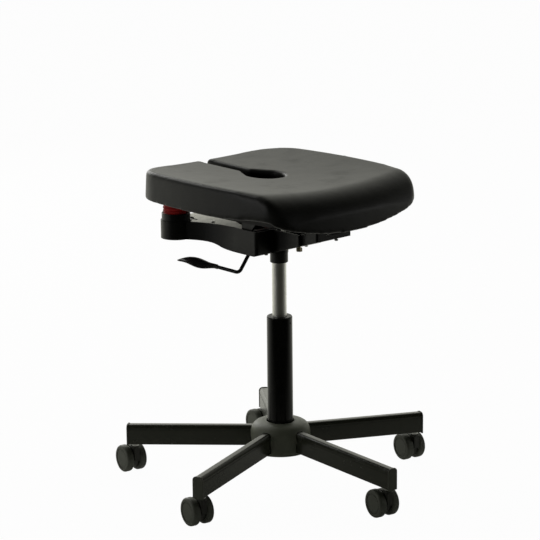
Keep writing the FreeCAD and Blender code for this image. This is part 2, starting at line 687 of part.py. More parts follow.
def make_bumper():
    bumper = disc(BUMPER_RADIUS, SHOULDER_TOP, SHOULDER_TOP + BUMPER_HEIGHT)
    bumper = round_rims(bumper, BUMPER_ROUND, [SHOULDER_TOP + BUMPER_HEIGHT])
    return bumper.cut(disc(ROD_RADIUS, SHOULDER_TOP - CUT_OVERRUN, SHOULDER_TOP + BUMPER_HEIGHT + CUT_OVERRUN))


def make_cylinder():
    """Chromed cylinder with its closed head, bored for the release button."""
    barrel = disc(CYLINDER_RADIUS, CYLINDER_BOTTOM, CYLINDER_TOP)
    barrel = round_rims(barrel, CYLINDER_ROUND, [CYLINDER_BOTTOM, CYLINDER_TOP])
    barrel = barrel.cut(disc(CYLINDER_BORE, CYLINDER_BOTTOM - CUT_OVERRUN, CYLINDER_TOP - CYLINDER_HEAD))
    return barrel.cut(disc(BUTTON_RADIUS + RUNNING_FIT, CYLINDER_TOP - BUTTON_BORE_DEPTH,
                           CYLINDER_TOP + CUT_OVERRUN))


def make_button():
    button = disc(BUTTON_RADIUS, BUTTON_TOP - BUTTON_LENGTH, BUTTON_TOP)
    return round_rims(button, BUTTON_ROUND, [BUTTON_TOP])


def make_collar():
    collar = disc(COLLAR_RADIUS, NECK_RING_BOTTOM - COLLAR_HEIGHT, NECK_RING_BOTTOM)
    collar = round_rims(collar, COLLAR_ROUND, [NECK_RING_BOTTOM - COLLAR_HEIGHT])
    bore = disc(CYLINDER_RADIUS + RUNNING_FIT, NECK_RING_BOTTOM - COLLAR_HEIGHT - CUT_OVERRUN,
                NECK_RING_BOTTOM + CUT_OVERRUN)
    return collar.cut(bore)


# Mechanism housing


def rear_arm(inset, bottom, top):
    """Left rear arm in plan, with a smoothly bent outer side from the tray to its spring boss."""
    boss = BOSS_RADIUS - inset
    join = math.radians(REAR_ARM_JOIN_ANGLE)
    end = math.radians(REAR_ARM_END_ANGLE)
    side = inset - HOUSING_HALF_WIDTH
    start = vector(side, REAR_ARM_SIDE_START, bottom)
    meet = vector(boss * math.cos(join) - BOSS_X, BOSS_Y + boss * math.sin(join), bottom)
    lead = meet + vector(REAR_ARM_SIDE_LEAD * math.sin(end), -REAR_ARM_SIDE_LEAD)
    curve = Part.BezierCurve()
    curve.setPoles([start, vector(side, REAR_ARM_SIDE_BEND, bottom), lead, meet])
    corners = [meet, vector(-BOSS_X, BOSS_Y, bottom),
               vector(boss * math.cos(end) - BOSS_X, BOSS_Y + boss * math.sin(end), bottom),
               vector(-REAR_ARM_INNER_X - inset, REAR_ARM_INNER_Y - inset, bottom),
               vector(-REAR_ARM_INNER_START - inset, HOUSING_REAR - inset, bottom),
               vector(-REAR_ARM_INNER_START - inset, REAR_ARM_SIDE_START, bottom), start]
    edges = [curve.toShape()] + [Part.makeLine(a, b) for a, b in zip(corners, corners[1:])]
    return Part.Face(Part.Wire(edges)).extrude(vector(0, 0, top - bottom))


def tray_shape(inset, bottom, top, boss_inset):
    """Solid over the housing's plan, drawn in by an inset, without its sloped floor."""
    half = HOUSING_HALF_WIDTH - inset
    corner = HOUSING_CORNER
    arm = FRONT_ARM_HALF_WIDTH - inset
    tray = block(-half, half, HOUSING_FRONT + inset, HOUSING_REAR - inset, bottom, top)
    upright = [e for e in tray.Edges if e.BoundBox.ZLength > 0.5 * (top - bottom) and e.BoundBox.YMax < 0]
    tray = tray.makeFillet(corner, upright)
    front = block(-arm, arm, FRONT_ARM_END + inset, HOUSING_FRONT + inset + corner, bottom, top)
    upright = [e for e in front.Edges if e.BoundBox.ZLength > 0.5 * (top - bottom)
               and e.BoundBox.YMax < FRONT_ARM_END + inset + RUNNING_FIT]
    front = front.makeFillet(FRONT_ARM_CORNER, upright)
    arms = rear_arm(inset, bottom, top)
    boss = disc(BOSS_RADIUS - boss_inset, bottom, top, -BOSS_X, BOSS_Y)
    return fuse([tray, front, arms, mirrored(arms), boss, mirrored(boss)])


def floor_cutter(lift):
    """Space below the housing: level under the tray, rising to the rear bosses and the front end."""
    reach = 2 * HOUSING_HALF_WIDTH
    low = HOUSING_BOTTOM - HOUSING_WALL
    front_z = FRONT_ARM_END_BOTTOM + FRONT_SLOPE * reach + lift
    middle = 0.5 * (ARM_RISE_START + ARM_RISE_END)
    rise = 0.5 * (BOSS_BOTTOM - HOUSING_BOTTOM)
    front = side_prism([(FRONT_ARM_END - reach, low), (FRONT_ARM_END - reach, front_z),
                        (UNDERSIDE_RISE_START, HOUSING_BOTTOM + lift), (UNDERSIDE_RISE_START, low)],
                       -reach, reach)
    start = vector(-reach, ARM_RISE_START, HOUSING_BOTTOM + lift)
    finish = vector(-reach, ARM_RISE_END, BOSS_BOTTOM + lift)
    curve = Part.BezierCurve()
    curve.setPoles([start, vector(-reach, middle, start.z), vector(-reach, middle, start.z + rise),
                    vector(-reach, middle, finish.z), finish])
    far = vector(-reach, BOSS_Y + reach, finish.z)
    far_low = vector(-reach, BOSS_Y + reach, low)
    near_low = vector(-reach, ARM_RISE_START, low)
    edges = [curve.toShape(), Part.makeLine(finish, far), Part.makeLine(far, far_low),
             Part.makeLine(far_low, near_low), Part.makeLine(near_low, start)]
    rear = Part.Face(Part.Wire(edges)).extrude(vector(2 * reach, 0, 0))
    tools = [front, rear]
    if lift > 0:
        tools.append(block(-reach, reach, UNDERSIDE_RISE_START, ARM_RISE_START, low, HOUSING_BOTTOM + lift))
    return tools


def lever_ears():
    """Two ears that stand on the tray floor and hold the lever's pin."""
    low = HOUSING_BOTTOM + HOUSING_WALL
    high = LEVER_PIVOT_Z + LEVER_EAR_WIDTH * 0.5
    inner = 0.5 * LEVER_SLEEVE_LENGTH + SEAT_GAP
    ears = []
    for side in (-1, 1):
        near = side * inner
        far = side * (inner + LEVER_EAR_THICKNESS)
        x0 = LEVER_PIVOT_X - 0.5 * LEVER_EAR_WIDTH
        ears.append(block(x0, x0 + LEVER_EAR_WIDTH, min(near, far), max(near, far), low - CUT_OVERRUN, high))
    return ears


def front_block():
    """Raised block at the end of the front arm that carries the hinge pin."""
    half = FRONT_ARM_HALF_WIDTH
    raised = block(-half, half, FRONT_ARM_END, FRONT_NECK_END, HOUSING_TOP - HOUSING_WALL, FRONT_BLOCK_TOP)
    solid = block(-half, half, FRONT_ARM_END, FRONT_NECK_END, HOUSING_BOTTOM, HOUSING_TOP)
    raised = fuse([raised, solid])
    upright = [e for e in raised.Edges if e.BoundBox.ZLength > FRONT_ARM_CORNER
               and e.BoundBox.YMax < FRONT_ARM_END + RUNNING_FIT]
    return raised.makeFillet(FRONT_ARM_CORNER, upright)


def make_housing():
    """Cast tray with its spring arms, hinge block and the taper boss on the cylinder."""
    shell = tray_shape(0.0, HOUSING_BOTTOM, HOUSING_TOP, 0.0)
    shell = fuse([shell, front_block()]).cut(floor_cutter(0.0))
    inner_top = HOUSING_TOP + CUT_OVERRUN
    pocket = tray_shape(HOUSING_WALL, HOUSING_BOTTOM, inner_top, HOUSING_WALL)
    pocket = pocket.cut(floor_cutter(HOUSING_WALL))
    boss = disc(BOSS_RADIUS, HOUSING_BOTTOM, inner_top + CUT_OVERRUN, -BOSS_X, BOSS_Y)
    neck_y = FRONT_NECK_START + CUT_OVERRUN
    half = FRONT_ARM_HALF_WIDTH + CUT_OVERRUN
    end = block(-half, half, FRONT_ARM_END - CUT_OVERRUN, neck_y, HOUSING_BOTTOM, inner_top + CUT_OVERRUN)
    pocket = pocket.cut([boss, mirrored(boss), end])
    shell = shell.cut(pocket)
    for side in (-1, 1):
        near = side * (FRONT_ARM_HALF_WIDTH - FRONT_NECK_DEPTH)
        far = side * half
        shell = shell.cut(block(min(near, far), max(near, far), FRONT_NECK_END, FRONT_NECK_START,
                                HOUSING_BOTTOM, inner_top))
    posts = []
    for x, y in POST_PLACES:
        post = disc(POST_RADIUS, HOUSING_BOTTOM + HOUSING_WALL, COVER_PLATE_BOTTOM, -x, y)
        post = post.cut(floor_cutter(HOUSING_WALL - RUNNING_FIT))
        posts += [post, mirrored(post)]
    taper = disc(TAPER_BOSS_RADIUS, HOUSING_BOTTOM, TAPER_BOSS_TOP)
    neck = disc(NECK_RING_RADIUS, NECK_RING_BOTTOM, HOUSING_BOTTOM + HOUSING_WALL)
    shell = fuse([shell, taper, neck] + posts + lever_ears())
    shell = shell.cut(disc(CYLINDER_RADIUS + RUNNING_FIT, NECK_RING_BOTTOM - CUT_OVERRUN,
                           TAPER_BOSS_TOP + CUT_OVERRUN))
    shell = shell.cut(cover_plate_solid(COVER_PLATE_BOTTOM, inner_top, SEAT_GAP))
    return shell.cut(housing_bores())


def housing_bores():
    """Every hole in the housing: hinge, lever, studs, screws and the lever's slot."""
    wide = FRONT_ARM_HALF_WIDTH + CUT_OVERRUN
    hinge = Part.makeCylinder(HINGE_PIN_RADIUS, 2 * wide, vector(-wide, HINGE_Y, HINGE_Z), ALONG_X)
    slot = block(-FRONT_BLOCK_SLOT, FRONT_BLOCK_SLOT, FRONT_ARM_END - CUT_OVERRUN, FRONT_NECK_END + CUT_OVERRUN,
                 HINGE_Z - HINGE_LUG_RADIUS - HINGE_LUG_GAP - CUT_OVERRUN, FRONT_BLOCK_TOP + CUT_OVERRUN)
    pin = Part.makeCylinder(LEVER_PIN_RADIUS, LEVER_PIN_LENGTH,
                            vector(LEVER_PIVOT_X, -0.5 * LEVER_PIN_LENGTH, LEVER_PIVOT_Z), ALONG_Y)
    slot_end = LEVER_SLOT_LIP - HOUSING_HALF_WIDTH
    lever_slot = block(slot_end, slot_end + LEVER_SLOT_LENGTH, -0.5 * LEVER_SLOT_WIDTH, 0.5 * LEVER_SLOT_WIDTH,
                       HOUSING_BOTTOM - CUT_OVERRUN, HOUSING_BOTTOM + HOUSING_WALL + CUT_OVERRUN)
    stud = disc(STUD_RADIUS, HOUSING_TOP - STUD_DEPTH, HOUSING_TOP + CUT_OVERRUN, -BOSS_X, BOSS_Y)
    core = disc(BOSS_RADIUS - HOUSING_WALL, BOSS_BOTTOM - CUT_OVERRUN, HOUSING_TOP - BOSS_FLOOR,
                -BOSS_X, BOSS_Y)
    bolt_low = HOUSING_BOTTOM
    bolt = disc(TENSION_BOLT_RADIUS, bolt_low, HOUSING_TOP, TENSION_BOLT_X, TENSION_BOLT_Y)
    tools = [hinge, slot, pin, lever_slot, stud, mirrored(stud), core, mirrored(core), bolt]
    for x, y, floor in screw_places():
        tools.append(disc(COVER_SCREW_SHANK_RADIUS, floor - CUT_OVERRUN, floor + HOUSING_SCREW_DEPTH, x, y))
    for x, y in POST_PLACES:
        hole = disc(COVER_SCREW_SHANK_RADIUS, COVER_PLATE_BOTTOM - COVER_SCREW_SHANK_LENGTH,
                    COVER_PLATE_BOTTOM + CUT_OVERRUN, -x, y)
        tools += [hole, mirrored(hole)]
    return tools


def sloped_floor(y):
    """Height of the front arm's underside at a place along the arm."""
    return HOUSING_BOTTOM + FRONT_SLOPE * (UNDERSIDE_RISE_START - y)


def screw_places():
    """Screws that enter the housing from below, as (x, y, lowest height of the surface under the head)."""
    return [(FLOOR_SCREW_X, FLOOR_SCREW_Y, HOUSING_BOTTOM), (-FLOOR_SCREW_X, FLOOR_SCREW_Y, HOUSING_BOTTOM),
            (BLOCK_SCREW_X, BLOCK_SCREW_Y, sloped_floor(BLOCK_SCREW_Y + HOUSING_SCREW_RADIUS))]


def make_housing_screws():
    """Screws that enter the housing from below and those that hold the cover plates."""
    screws = []
    for x, y, floor in screw_places():
        head = disc(HOUSING_SCREW_RADIUS, floor - HOUSING_SCREW_HEAD, floor, x, y)
        head = round_rims(head, 0.5 * HOUSING_SCREW_HEAD, [floor - HOUSING_SCREW_HEAD])
        screws.append(fuse([head, disc(COVER_SCREW_SHANK_RADIUS, floor, floor + HOUSING_SCREW_DEPTH, x, y)]))
    top = COVER_PLATE_BOTTOM + COVER_PLATE_THICKNESS
    for x, y in POST_PLACES:
        head = disc(COVER_SCREW_RADIUS, top, top + COVER_SCREW_HEAD, -x, y)
        head = round_rims(head, 0.5 * COVER_SCREW_HEAD, [top + COVER_SCREW_HEAD])
        screw = fuse([head, disc(COVER_SCREW_SHANK_RADIUS, top - COVER_SCREW_SHANK_LENGTH, top, -x, y)])
        screws += [screw, mirrored(screw)]
    return group(screws)


def make_tension_bolt():
    """Brass bolt through the front arm's sloped floor, with a hexagon head below it."""
    high = sloped_floor(TENSION_BOLT_Y + TENSION_HEAD_RADIUS)
    low = high - TENSION_HEAD_HEIGHT
    corners = []
    for index in range(6):
        turn = math.radians(60.0 * index)
        corners.append((TENSION_BOLT_X + TENSION_HEAD_RADIUS * math.cos(turn),
                        TENSION_BOLT_Y + TENSION_HEAD_RADIUS * math.sin(turn)))
    head = prism(corners, low, high)
    shank = disc(TENSION_BOLT_RADIUS, high, high + TENSION_BOLT_LENGTH, TENSION_BOLT_X, TENSION_BOLT_Y)
    return fuse([head, shank])


def cover_plate_solid(bottom, top, gap):
    """Light sheet without its holes: over the tray's rear, its rear arms and the space between them."""
    edge = COVER_PLATE_INSET - gap
    boss = BOSS_RADIUS + SEAT_GAP - gap
    outline = [
        (edge - HOUSING_HALF_WIDTH, COVER_PLATE_FRONT),
        (edge - HOUSING_HALF_WIDTH, COVER_PLATE_SIDE_Y),
        (COVER_PLATE_ARM_INSET - BOSS_X - gap, BOSS_Y - BOSS_RADIUS),
        (-BOSS_X, BOSS_Y),
        (-COVER_PLATE_REAR_X - gap, COVER_PLATE_REAR_Y + gap),
        (0, COVER_PLATE_REAR_Y + gap),
        (0, COVER_PLATE_INNER_Y - gap),
        (gap - COVER_PLATE_INNER_X, COVER_PLATE_INNER_Y - gap),
    ]
    half = prism(outline, bottom, top)
    half = half.cut(disc(boss, bottom - CUT_OVERRUN, top + CUT_OVERRUN, -BOSS_X, BOSS_Y))
    inset = HOUSING_WALL + SEAT_GAP - gap
    middle = block(-COVER_PLATE_REAR_X - gap, 0, HOUSING_REAR - HOUSING_WALL, COVER_PLATE_REAR_Y + gap,
                   bottom, top)
    half = half.common(fuse([tray_shape(inset, bottom, top, inset), middle]))
    return fuse([half, mirrored(half)])


def make_cover_plate():
    """Light sheet with a slot and two screw holes on each side."""
    top = COVER_PLATE_BOTTOM + COVER_PLATE_THICKNESS
    half = 0.5 * (COVER_PLATE_SLOT_LENGTH - COVER_PLATE_SLOT_WIDTH)
    radius = 0.5 * COVER_PLATE_SLOT_WIDTH
    low = COVER_PLATE_BOTTOM - CUT_OVERRUN
    high = top + CUT_OVERRUN
    ends = (COVER_PLATE_SLOT_Y - half, COVER_PLATE_SLOT_Y + half)
    tools = [disc(radius, low, high, -COVER_PLATE_SLOT_X, y) for y in ends]
    tools.append(block(-COVER_PLATE_SLOT_X - radius, radius - COVER_PLATE_SLOT_X, COVER_PLATE_SLOT_Y - half,
                       COVER_PLATE_SLOT_Y + half, low, high))
    tools += [disc(COVER_SCREW_SHANK_RADIUS, low, high, -x, y) for x, y in POST_PLACES]
    return cover_plate_solid(COVER_PLATE_BOTTOM, top, 0.0).cut(tools + [mirrored(tool) for tool in tools])


# Release lever


def rod_run(start, finish):
    """Straight round run between two points."""
    run = finish - start
    return Part.makeCylinder(LEVER_ROD_RADIUS, run.Length, start, run)


def make_lever_rod():
    """Sleeve on the pivot pin, tab above the button and the bent rod that leaves the tray."""
    pivot = vector(LEVER_PIVOT_X, 0, LEVER_PIVOT_Z)
    half = 0.5 * LEVER_SLEEVE_LENGTH
    sleeve = Part.makeCylinder(LEVER_SLEEVE_RADIUS, LEVER_SLEEVE_LENGTH, pivot - vector(0, half), ALONG_Y)
    tab_low = BUTTON_TOP + SEAT_GAP
    side = 0.5 * LEVER_TAB_WIDTH
    tab = block(LEVER_PIVOT_X - LEVER_ROD_RADIUS, LEVER_TAB_REACH, -side, side,
                tab_low, tab_low + LEVER_TAB_THICKNESS)
    web = block(LEVER_PIVOT_X - LEVER_ROD_RADIUS, LEVER_PIVOT_X + LEVER_ROD_RADIUS, -side, side,
                LEVER_PIVOT_Z, tab_low + LEVER_TAB_THICKNESS)
    bend = LEVER_BEND
    down = bend - pivot
    along = PADDLE_ROOT - bend
    down.normalize()
    along.normalize()
    turn = math.pi - down.getAngle(along * -1)
    setback = LEVER_ELBOW_RADIUS * math.tan(0.5 * turn)
    first = bend - down * setback
    last = bend + along * setback
    middle = along - down
    middle.normalize()
    centre_gap = LEVER_ELBOW_RADIUS / math.cos(0.5 * turn) - LEVER_ELBOW_RADIUS
    elbow_path = Part.Wire([Part.Arc(first, bend + middle * centre_gap, last).toShape()])
    section = Part.Wire([Part.makeCircle(LEVER_ROD_RADIUS, first, down)])
    elbow = elbow_path.makePipeShell([section], True, False)
    inside = PADDLE_ROOT + along * PADDLE_SOCKET_DEPTH
    pieces = [sleeve, tab, web, rod_run(pivot + down * LEVER_PIN_RADIUS, first), elbow, rod_run(last, inside)]
    lever = fuse(pieces)
    bore = Part.makeCylinder(LEVER_PIN_RADIUS + RUNNING_FIT, LEVER_SLEEVE_LENGTH + 2 * CUT_OVERRUN,
                             pivot - vector(0, half + CUT_OVERRUN), ALONG_Y)
    return lever.cut(bore)


def paddle_section(place, across, upright, width, thickness):
    """Ellipse across the paddle at one place along it."""
    ellipse = Part.Ellipse(place + across * (0.5 * width), place + upright * (0.5 * thickness), place)
    return Part.Wire([ellipse.toShape()])


def make_paddle():
    """Moulded blade that widens from its neck, rolled outwards and bowed up, and thins to its tip."""
    root = PADDLE_ROOT
    run = PADDLE_TIP - root
    level = run.cross(UP)
    level.normalize()
    straight = level.cross(run)
    straight.normalize()
    roll = math.radians(PADDLE_ROLL_ANGLE)
    across = level * math.cos(roll) + straight * math.sin(roll)
    upright = straight * math.cos(roll) - level * math.sin(roll)
    sections = []
    for place, wide, thick, bow in zip(PADDLE_PLACE_SHARES, PADDLE_WIDTH_SHARES, PADDLE_THICKNESS_SHARES,
                                       PADDLE_BOW_SHARES):
        middle = root + run * place + straight * (bow * PADDLE_BOW)
        sections.append(paddle_section(middle, across, upright, wide * PADDLE_WIDTH, thick * PADDLE_THICKNESS))
    paddle = Part.makeLoft(sections, True, False)
    along = root - LEVER_BEND
    along.normalize()
    socket = Part.makeCylinder(LEVER_ROD_RADIUS, PADDLE_SOCKET_DEPTH + CUT_OVERRUN,
                               root - along * CUT_OVERRUN, along)
    return paddle.cut(socket)


# Rear springs


def make_cup():
    cup = disc(CUP_RADIUS, HOUSING_TOP, CUP_TOP)
    cup = round_rims(cup, CUP_ROUND, [CUP_TOP])
    cup = cup.cut(disc(CUP_RADIUS - CUP_WALL, HOUSING_TOP + CUP_FLOOR, CUP_TOP + CUT_OVERRUN))
    cup = cup.cut(disc(STUD_RADIUS + RUNNING_FIT, HOUSING_TOP - CUT_OVERRUN, CUP_TOP))
    return moved(cup, -BOSS_X, BOSS_Y)


def make_bellows():
    """Ribbed rubber sleeve between the cup and the seat plate, as a loft through level circles."""
    low = HOUSING_TOP + CUP_FLOOR
    high = PLATE_BOTTOM - SEAT_GAP
    pitch = (high - low) / BELLOWS_RIBS
    flat = BELLOWS_RIB_FLAT_SHARE * pitch
    slant = 0.5 * pitch - flat
    valley = BELLOWS_RADIUS - BELLOWS_RIB_DEPTH
    rings = []
    for index in range(BELLOWS_RIBS):
        start = low + pitch * index
        rings += [(start, valley), (start + flat, valley), (start + flat + slant, BELLOWS_RADIUS),
                  (start + 2 * flat + slant, BELLOWS_RADIUS)]
    rings.append((high, valley))
    wires = []
    for z, radius in rings:
        wires.append(Part.Wire([Part.makeCircle(radius, vector(-BOSS_X, BOSS_Y, z), UP)]))
    sleeve = Part.makeLoft(wires, True, True)
    return sleeve.cut(disc(valley - BELLOWS_WALL, low - CUT_OVERRUN, high + CUT_OVERRUN, -BOSS_X, BOSS_Y))


def make_studs():
    stud = disc(STUD_RADIUS, HOUSING_TOP - STUD_DEPTH, HOUSING_TOP + STUD_RISE, -BOSS_X, BOSS_Y)
    return group([stud, mirrored(stud)])


# Seat


def make_hinge_pin():
    half = FRONT_ARM_HALF_WIDTH - HINGE_PIN_INSET
    return Part.makeCylinder(HINGE_PIN_RADIUS, 2 * half, vector(-half, HINGE_Y, HINGE_Z), ALONG_X)


def make_seat_plate():
    """Steel plate under the seat with its hinge lug in front and a cheek on each side of the tray."""
    plate = block(-PLATE_HALF_WIDTH, PLATE_HALF_WIDTH, PLATE_FRONT, PLATE_REAR, PLATE_BOTTOM, BOARD_BOTTOM)
    upright = [e for e in plate.Edges if abs(e.BoundBox.ZLength - PLATE_THICKNESS) < RUNNING_FIT]
    plate = plate.makeFillet(PLATE_CORNER, upright)
    half = FRONT_BLOCK_SLOT - HINGE_LUG_GAP
    lug = Part.makeCylinder(HINGE_LUG_RADIUS, 2 * half, vector(-half, HINGE_Y, HINGE_Z), ALONG_X)
    stem = block(-half, half, HINGE_Y - HINGE_LUG_RADIUS, HINGE_Y + HINGE_LUG_RADIUS, HINGE_Z, PLATE_BOTTOM)
    outer = HOUSING_HALF_WIDTH - HOUSING_WALL - CHEEK_WALL_GAP
    cheek = side_prism([(CHEEK_FRONT_TOP, PLATE_BOTTOM), (CHEEK_FRONT_FOOT, CHEEK_FOOT), (CHEEK_REAR, CHEEK_FOOT),
                        (CHEEK_REAR, PLATE_BOTTOM)], -outer, CHEEK_THICKNESS - outer)
    seat = fuse([plate, lug, stem, cheek, mirrored(cheek)])
    bore = Part.makeCylinder(HINGE_PIN_RADIUS + RUNNING_FIT, 2 * half + 2 * CUT_OVERRUN,
                             vector(-half - CUT_OVERRUN, HINGE_Y, HINGE_Z), ALONG_X)
    holes = [disc(SCREW_SHANK_RADIUS, PLATE_BOTTOM - CUT_OVERRUN, BOARD_BOTTOM + CUT_OVERRUN, x, y)
             for x, y in board_screw_places()]
    return seat.cut([bore] + holes)


def board_screw_places():
    return [(side * SCREW_X, y) for side in (-1, 1) for y in (SCREW_FRONT_Y, SCREW_MIDDLE_Y, SCREW_REAR_Y)]


def make_board_screws():
    screws = []
    for x, y in board_screw_places():
        head = disc(SCREW_HEAD_RADIUS, PLATE_BOTTOM - SCREW_HEAD_HEIGHT, PLATE_BOTTOM, x, y)
        head = round_rims(head, 0.5 * SCREW_HEAD_HEIGHT, [PLATE_BOTTOM - SCREW_HEAD_HEIGHT])
        shank = disc(SCREW_SHANK_RADIUS, PLATE_BOTTOM, PLATE_BOTTOM + SCREW_SHANK_LENGTH, x, y)
        screws.append(fuse([head, shank]))
    return group(screws)


def corner_arc(half, end, end_bow, corner, side):
    """Rounded corner between the bowed side and a bowed end: its end tangent, middle and side tangent.

    The end lies at +y for side = 1 and at -y for side = -1, and the corner is the one at +x.
    """
    side_bow = SEAT_SIDE_BOW_RADIUS + half - SEAT_HALF_WIDTH
    side_hub = vector(half - side_bow, SEAT_SIDE_MIDDLE)
    end_hub = vector(0, end - side * end_bow)
    hubs = end_hub - side_hub
    span = hubs.Length
    far = side_bow - corner
    near = end_bow - corner
    along = (far * far - near * near + span * span) / (2 * span)
    rise = math.sqrt(far * far - along * along)
    hubs.normalize()
    square = vector(-hubs.y, hubs.x)
    centres = [side_hub + hubs * along + square * (turn * rise) for turn in (-1, 1)]
    centre = max(centres, key=lambda point: point.x)
    to_end = centre - end_hub
    to_side = centre - side_hub
    to_end.normalize()
    to_side.normalize()
    middle = to_end + to_side
    middle.normalize()
    return centre + to_end * corner, centre + middle * corner, centre + to_side * corner


def seat_half_outline(grow):
    """Points of the seat's right half in plan, from the rear middle to the front middle."""
    half = SEAT_HALF_WIDTH + grow
    rear = SEAT_REAR + grow
    front = SEAT_FRONT - grow
    back = corner_arc(half, rear, SEAT_REAR_BOW_RADIUS + grow, SEAT_REAR_CORNER + grow, 1)
    fore = corner_arc(half, front, SEAT_FRONT_BOW_RADIUS + grow, SEAT_FRONT_CORNER + grow, -1)
    return [vector(0, rear), *back, vector(half, SEAT_SIDE_MIDDLE), *reversed(fore), vector(0, front)]


def seat_outline(grow, z):
    """Plan outline of the seat at one height, grown outwards by a distance."""
    right = [vector(point.x, point.y, z) for point in seat_half_outline(grow)]
    left = [vector(-point.x, point.y, z) for point in right]
    ends = [(left[1], right[0], right[1]), (right[1], right[2], right[3]), (right[3], right[4], right[5]),
            (right[5], right[6], right[7]), (right[7], right[8], left[7]), (left[7], left[6], left[5]),
            (left[5], left[4], left[3]), (left[3], left[2], left[1])]
    return Part.Wire([Part.Arc(start, middle, finish).toShape() for start, middle, finish in ends])


def seat_height(x, y):
    """Height of the seat's top: dished across, a little higher at both ends and rolling down at the front."""
    across = (x / SEAT_HALF_WIDTH) ** 2
    end_rise = SEAT_REAR_RISE * (y / SEAT_REAR) ** 2 if y > 0 else SEAT_FRONT_RISE * (y / SEAT_FRONT) ** 2
    z = SEAT_SURFACE + SEAT_DISH * across + end_rise * (1.0 - across)
    reach = SEAT_ROLL_START + SEAT_ROLL_SETBACK * across - y
    turn = max(reach, 0.0) / SEAT_ROLL_RADIUS
    end = SEAT_ROLL_END_SHARE
    if turn <= end:
        return z - SEAT_ROLL_RADIUS * (1.0 - math.sqrt(1.0 - turn * turn))
    slope = end / math.sqrt(1.0 - end * end)
    return z - SEAT_ROLL_RADIUS * (1.0 - math.sqrt(1.0 - end * end) + slope * (turn - end))


def seat_top_cutter():
    """Everything above the seat's top surface."""
    columns = [share * SEAT_HALF_WIDTH for share in SEAT_COLUMN_SHARES]
    columns = [-x for x in reversed(columns[1:])] + columns
    rows = [share * (SEAT_REAR if share > 0 else -SEAT_FRONT) for share in SEAT_ROW_SHARES]
    grid = [[vector(x, y, seat_height(x, y)) for x in columns] for y in rows]
    surface = Part.BSplineSurface()
    surface.interpolate(grid)
    return surface.toShape().extrude(vector(0, 0, 2 * (SEAT_CEILING - SEAT_SKIRT_BOTTOM)))


def seat_bottom_cutters():
    """Spaces below the cushion: behind the front skirt, below its bowed edge and for the board."""
    wide = SEAT_HALF_WIDTH + SEAT_BLANK_MARGIN
    low = SEAT_SKIRT_BOTTOM - SEAT_BLANK_MARGIN
    skirt_rear = SEAT_FRONT + SEAT_SKIRT_THICKNESS
    rear = SEAT_REAR + SEAT_BLANK_MARGIN
    level = side_prism([(rear, low), (rear, SEAT_SIDE_BOTTOM), (SEAT_RISE_START, SEAT_SIDE_BOTTOM),
                        (SEAT_RISE_END, SEAT_SKIRT_END), (skirt_rear, SEAT_SKIRT_END), (skirt_rear, low)],
                       -wide, wide)
    front = SEAT_FRONT - SEAT_BLANK_MARGIN
    left = vector(-SEAT_HALF_WIDTH, front, SEAT_SKIRT_END)
    right = vector(SEAT_HALF_WIDTH, front, SEAT_SKIRT_END)
    arc = Part.Arc(left, vector(0, front, SEAT_SKIRT_BOTTOM), right).toShape()
    low_left = vector(-SEAT_HALF_WIDTH, front, low)
    low_right = vector(SEAT_HALF_WIDTH, front, low)
    edges = [arc, Part.makeLine(right, low_right), Part.makeLine(low_right, low_left),
             Part.makeLine(low_left, left)]
    skirt = Part.Face(Part.Wire(edges)).extrude(vector(0, skirt_rear - front, 0))
    margin = SEAT_GAP - BOARD_INSET
    pocket = Part.Face(seat_outline(margin, low)).extrude(vector(0, 0, BOARD_TOP + SEAT_GAP - low))
    pocket = pocket.cut(block(-wide, wide, front, skirt_rear + SEAT_GAP, low, SEAT_CEILING))
    return [level, skirt, pocket]


def relief_cutter():
    """Rear slot that widens forwards, along tangents, into the round relief hole."""
    low = BOARD_TOP
    high = SEAT_CEILING + CUT_OVERRUN
    hole = disc(RELIEF_RADIUS, low, high, 0, RELIEF_Y)
    rear = SEAT_REAR + SEAT_BLANK_MARGIN
    throat = 0.5 * SLOT_THROAT_WIDTH
    mouth = 0.5 * SLOT_REAR_WIDTH
    taper = prism([(-throat, SLOT_THROAT_Y), (throat, SLOT_THROAT_Y), (mouth, rear), (-mouth, rear)], low, high)
    reach = SLOT_THROAT_Y - RELIEF_Y
    turn = math.atan2(reach, throat) - math.acos(RELIEF_RADIUS / math.hypot(throat, reach))
    touch_x = RELIEF_RADIUS * math.cos(turn)
    touch_y = RELIEF_Y + RELIEF_RADIUS * math.sin(turn)
    funnel = prism([(0, RELIEF_Y), (touch_x, touch_y), (throat, SLOT_THROAT_Y), (-throat, SLOT_THROAT_Y),
                    (-touch_x, touch_y)], low, high)
    return fuse([hole, funnel, taper])


def make_board():
    """Plywood board set into the cushion."""
    face = Part.Face(seat_outline(-BOARD_INSET, BOARD_BOTTOM))
    board = face.extrude(vector(0, 0, BOARD_THICKNESS))
    wide = SEAT_HALF_WIDTH
    front = SEAT_FRONT + SEAT_SKIRT_THICKNESS + 2 * SEAT_GAP
    board = board.cut(block(-wide, wide, SEAT_FRONT, front, BOARD_BOTTOM - CUT_OVERRUN, BOARD_TOP + CUT_OVERRUN))
    holes = [disc(SCREW_SHANK_RADIUS, BOARD_BOTTOM - CUT_OVERRUN, PLATE_BOTTOM + SCREW_SHANK_LENGTH, x, y)
             for x, y in board_screw_places()]
    return board.cut(holes)


def make_cushion():
    """Foam cushion with drafted walls, its slot and the skirt that hangs lower in front."""
    bottom = seat_outline(SEAT_DRAFT, SEAT_SKIRT_BOTTOM)
    top = seat_outline(-SEAT_DRAFT, SEAT_CEILING)
    blank = Part.makeLoft([bottom, top], True, True)
    cushion = blank.cut(seat_top_cutter())
    rim = [edge for edge in cushion.Edges if edge.BoundBox.ZMin > SEAT_SKIRT_BOTTOM + SEAT_EDGE_ROUND]
    cushion = cushion.makeFillet(SEAT_EDGE_ROUND, rim)
    return cushion.cut(seat_bottom_cutters() + [relief_cutter()])


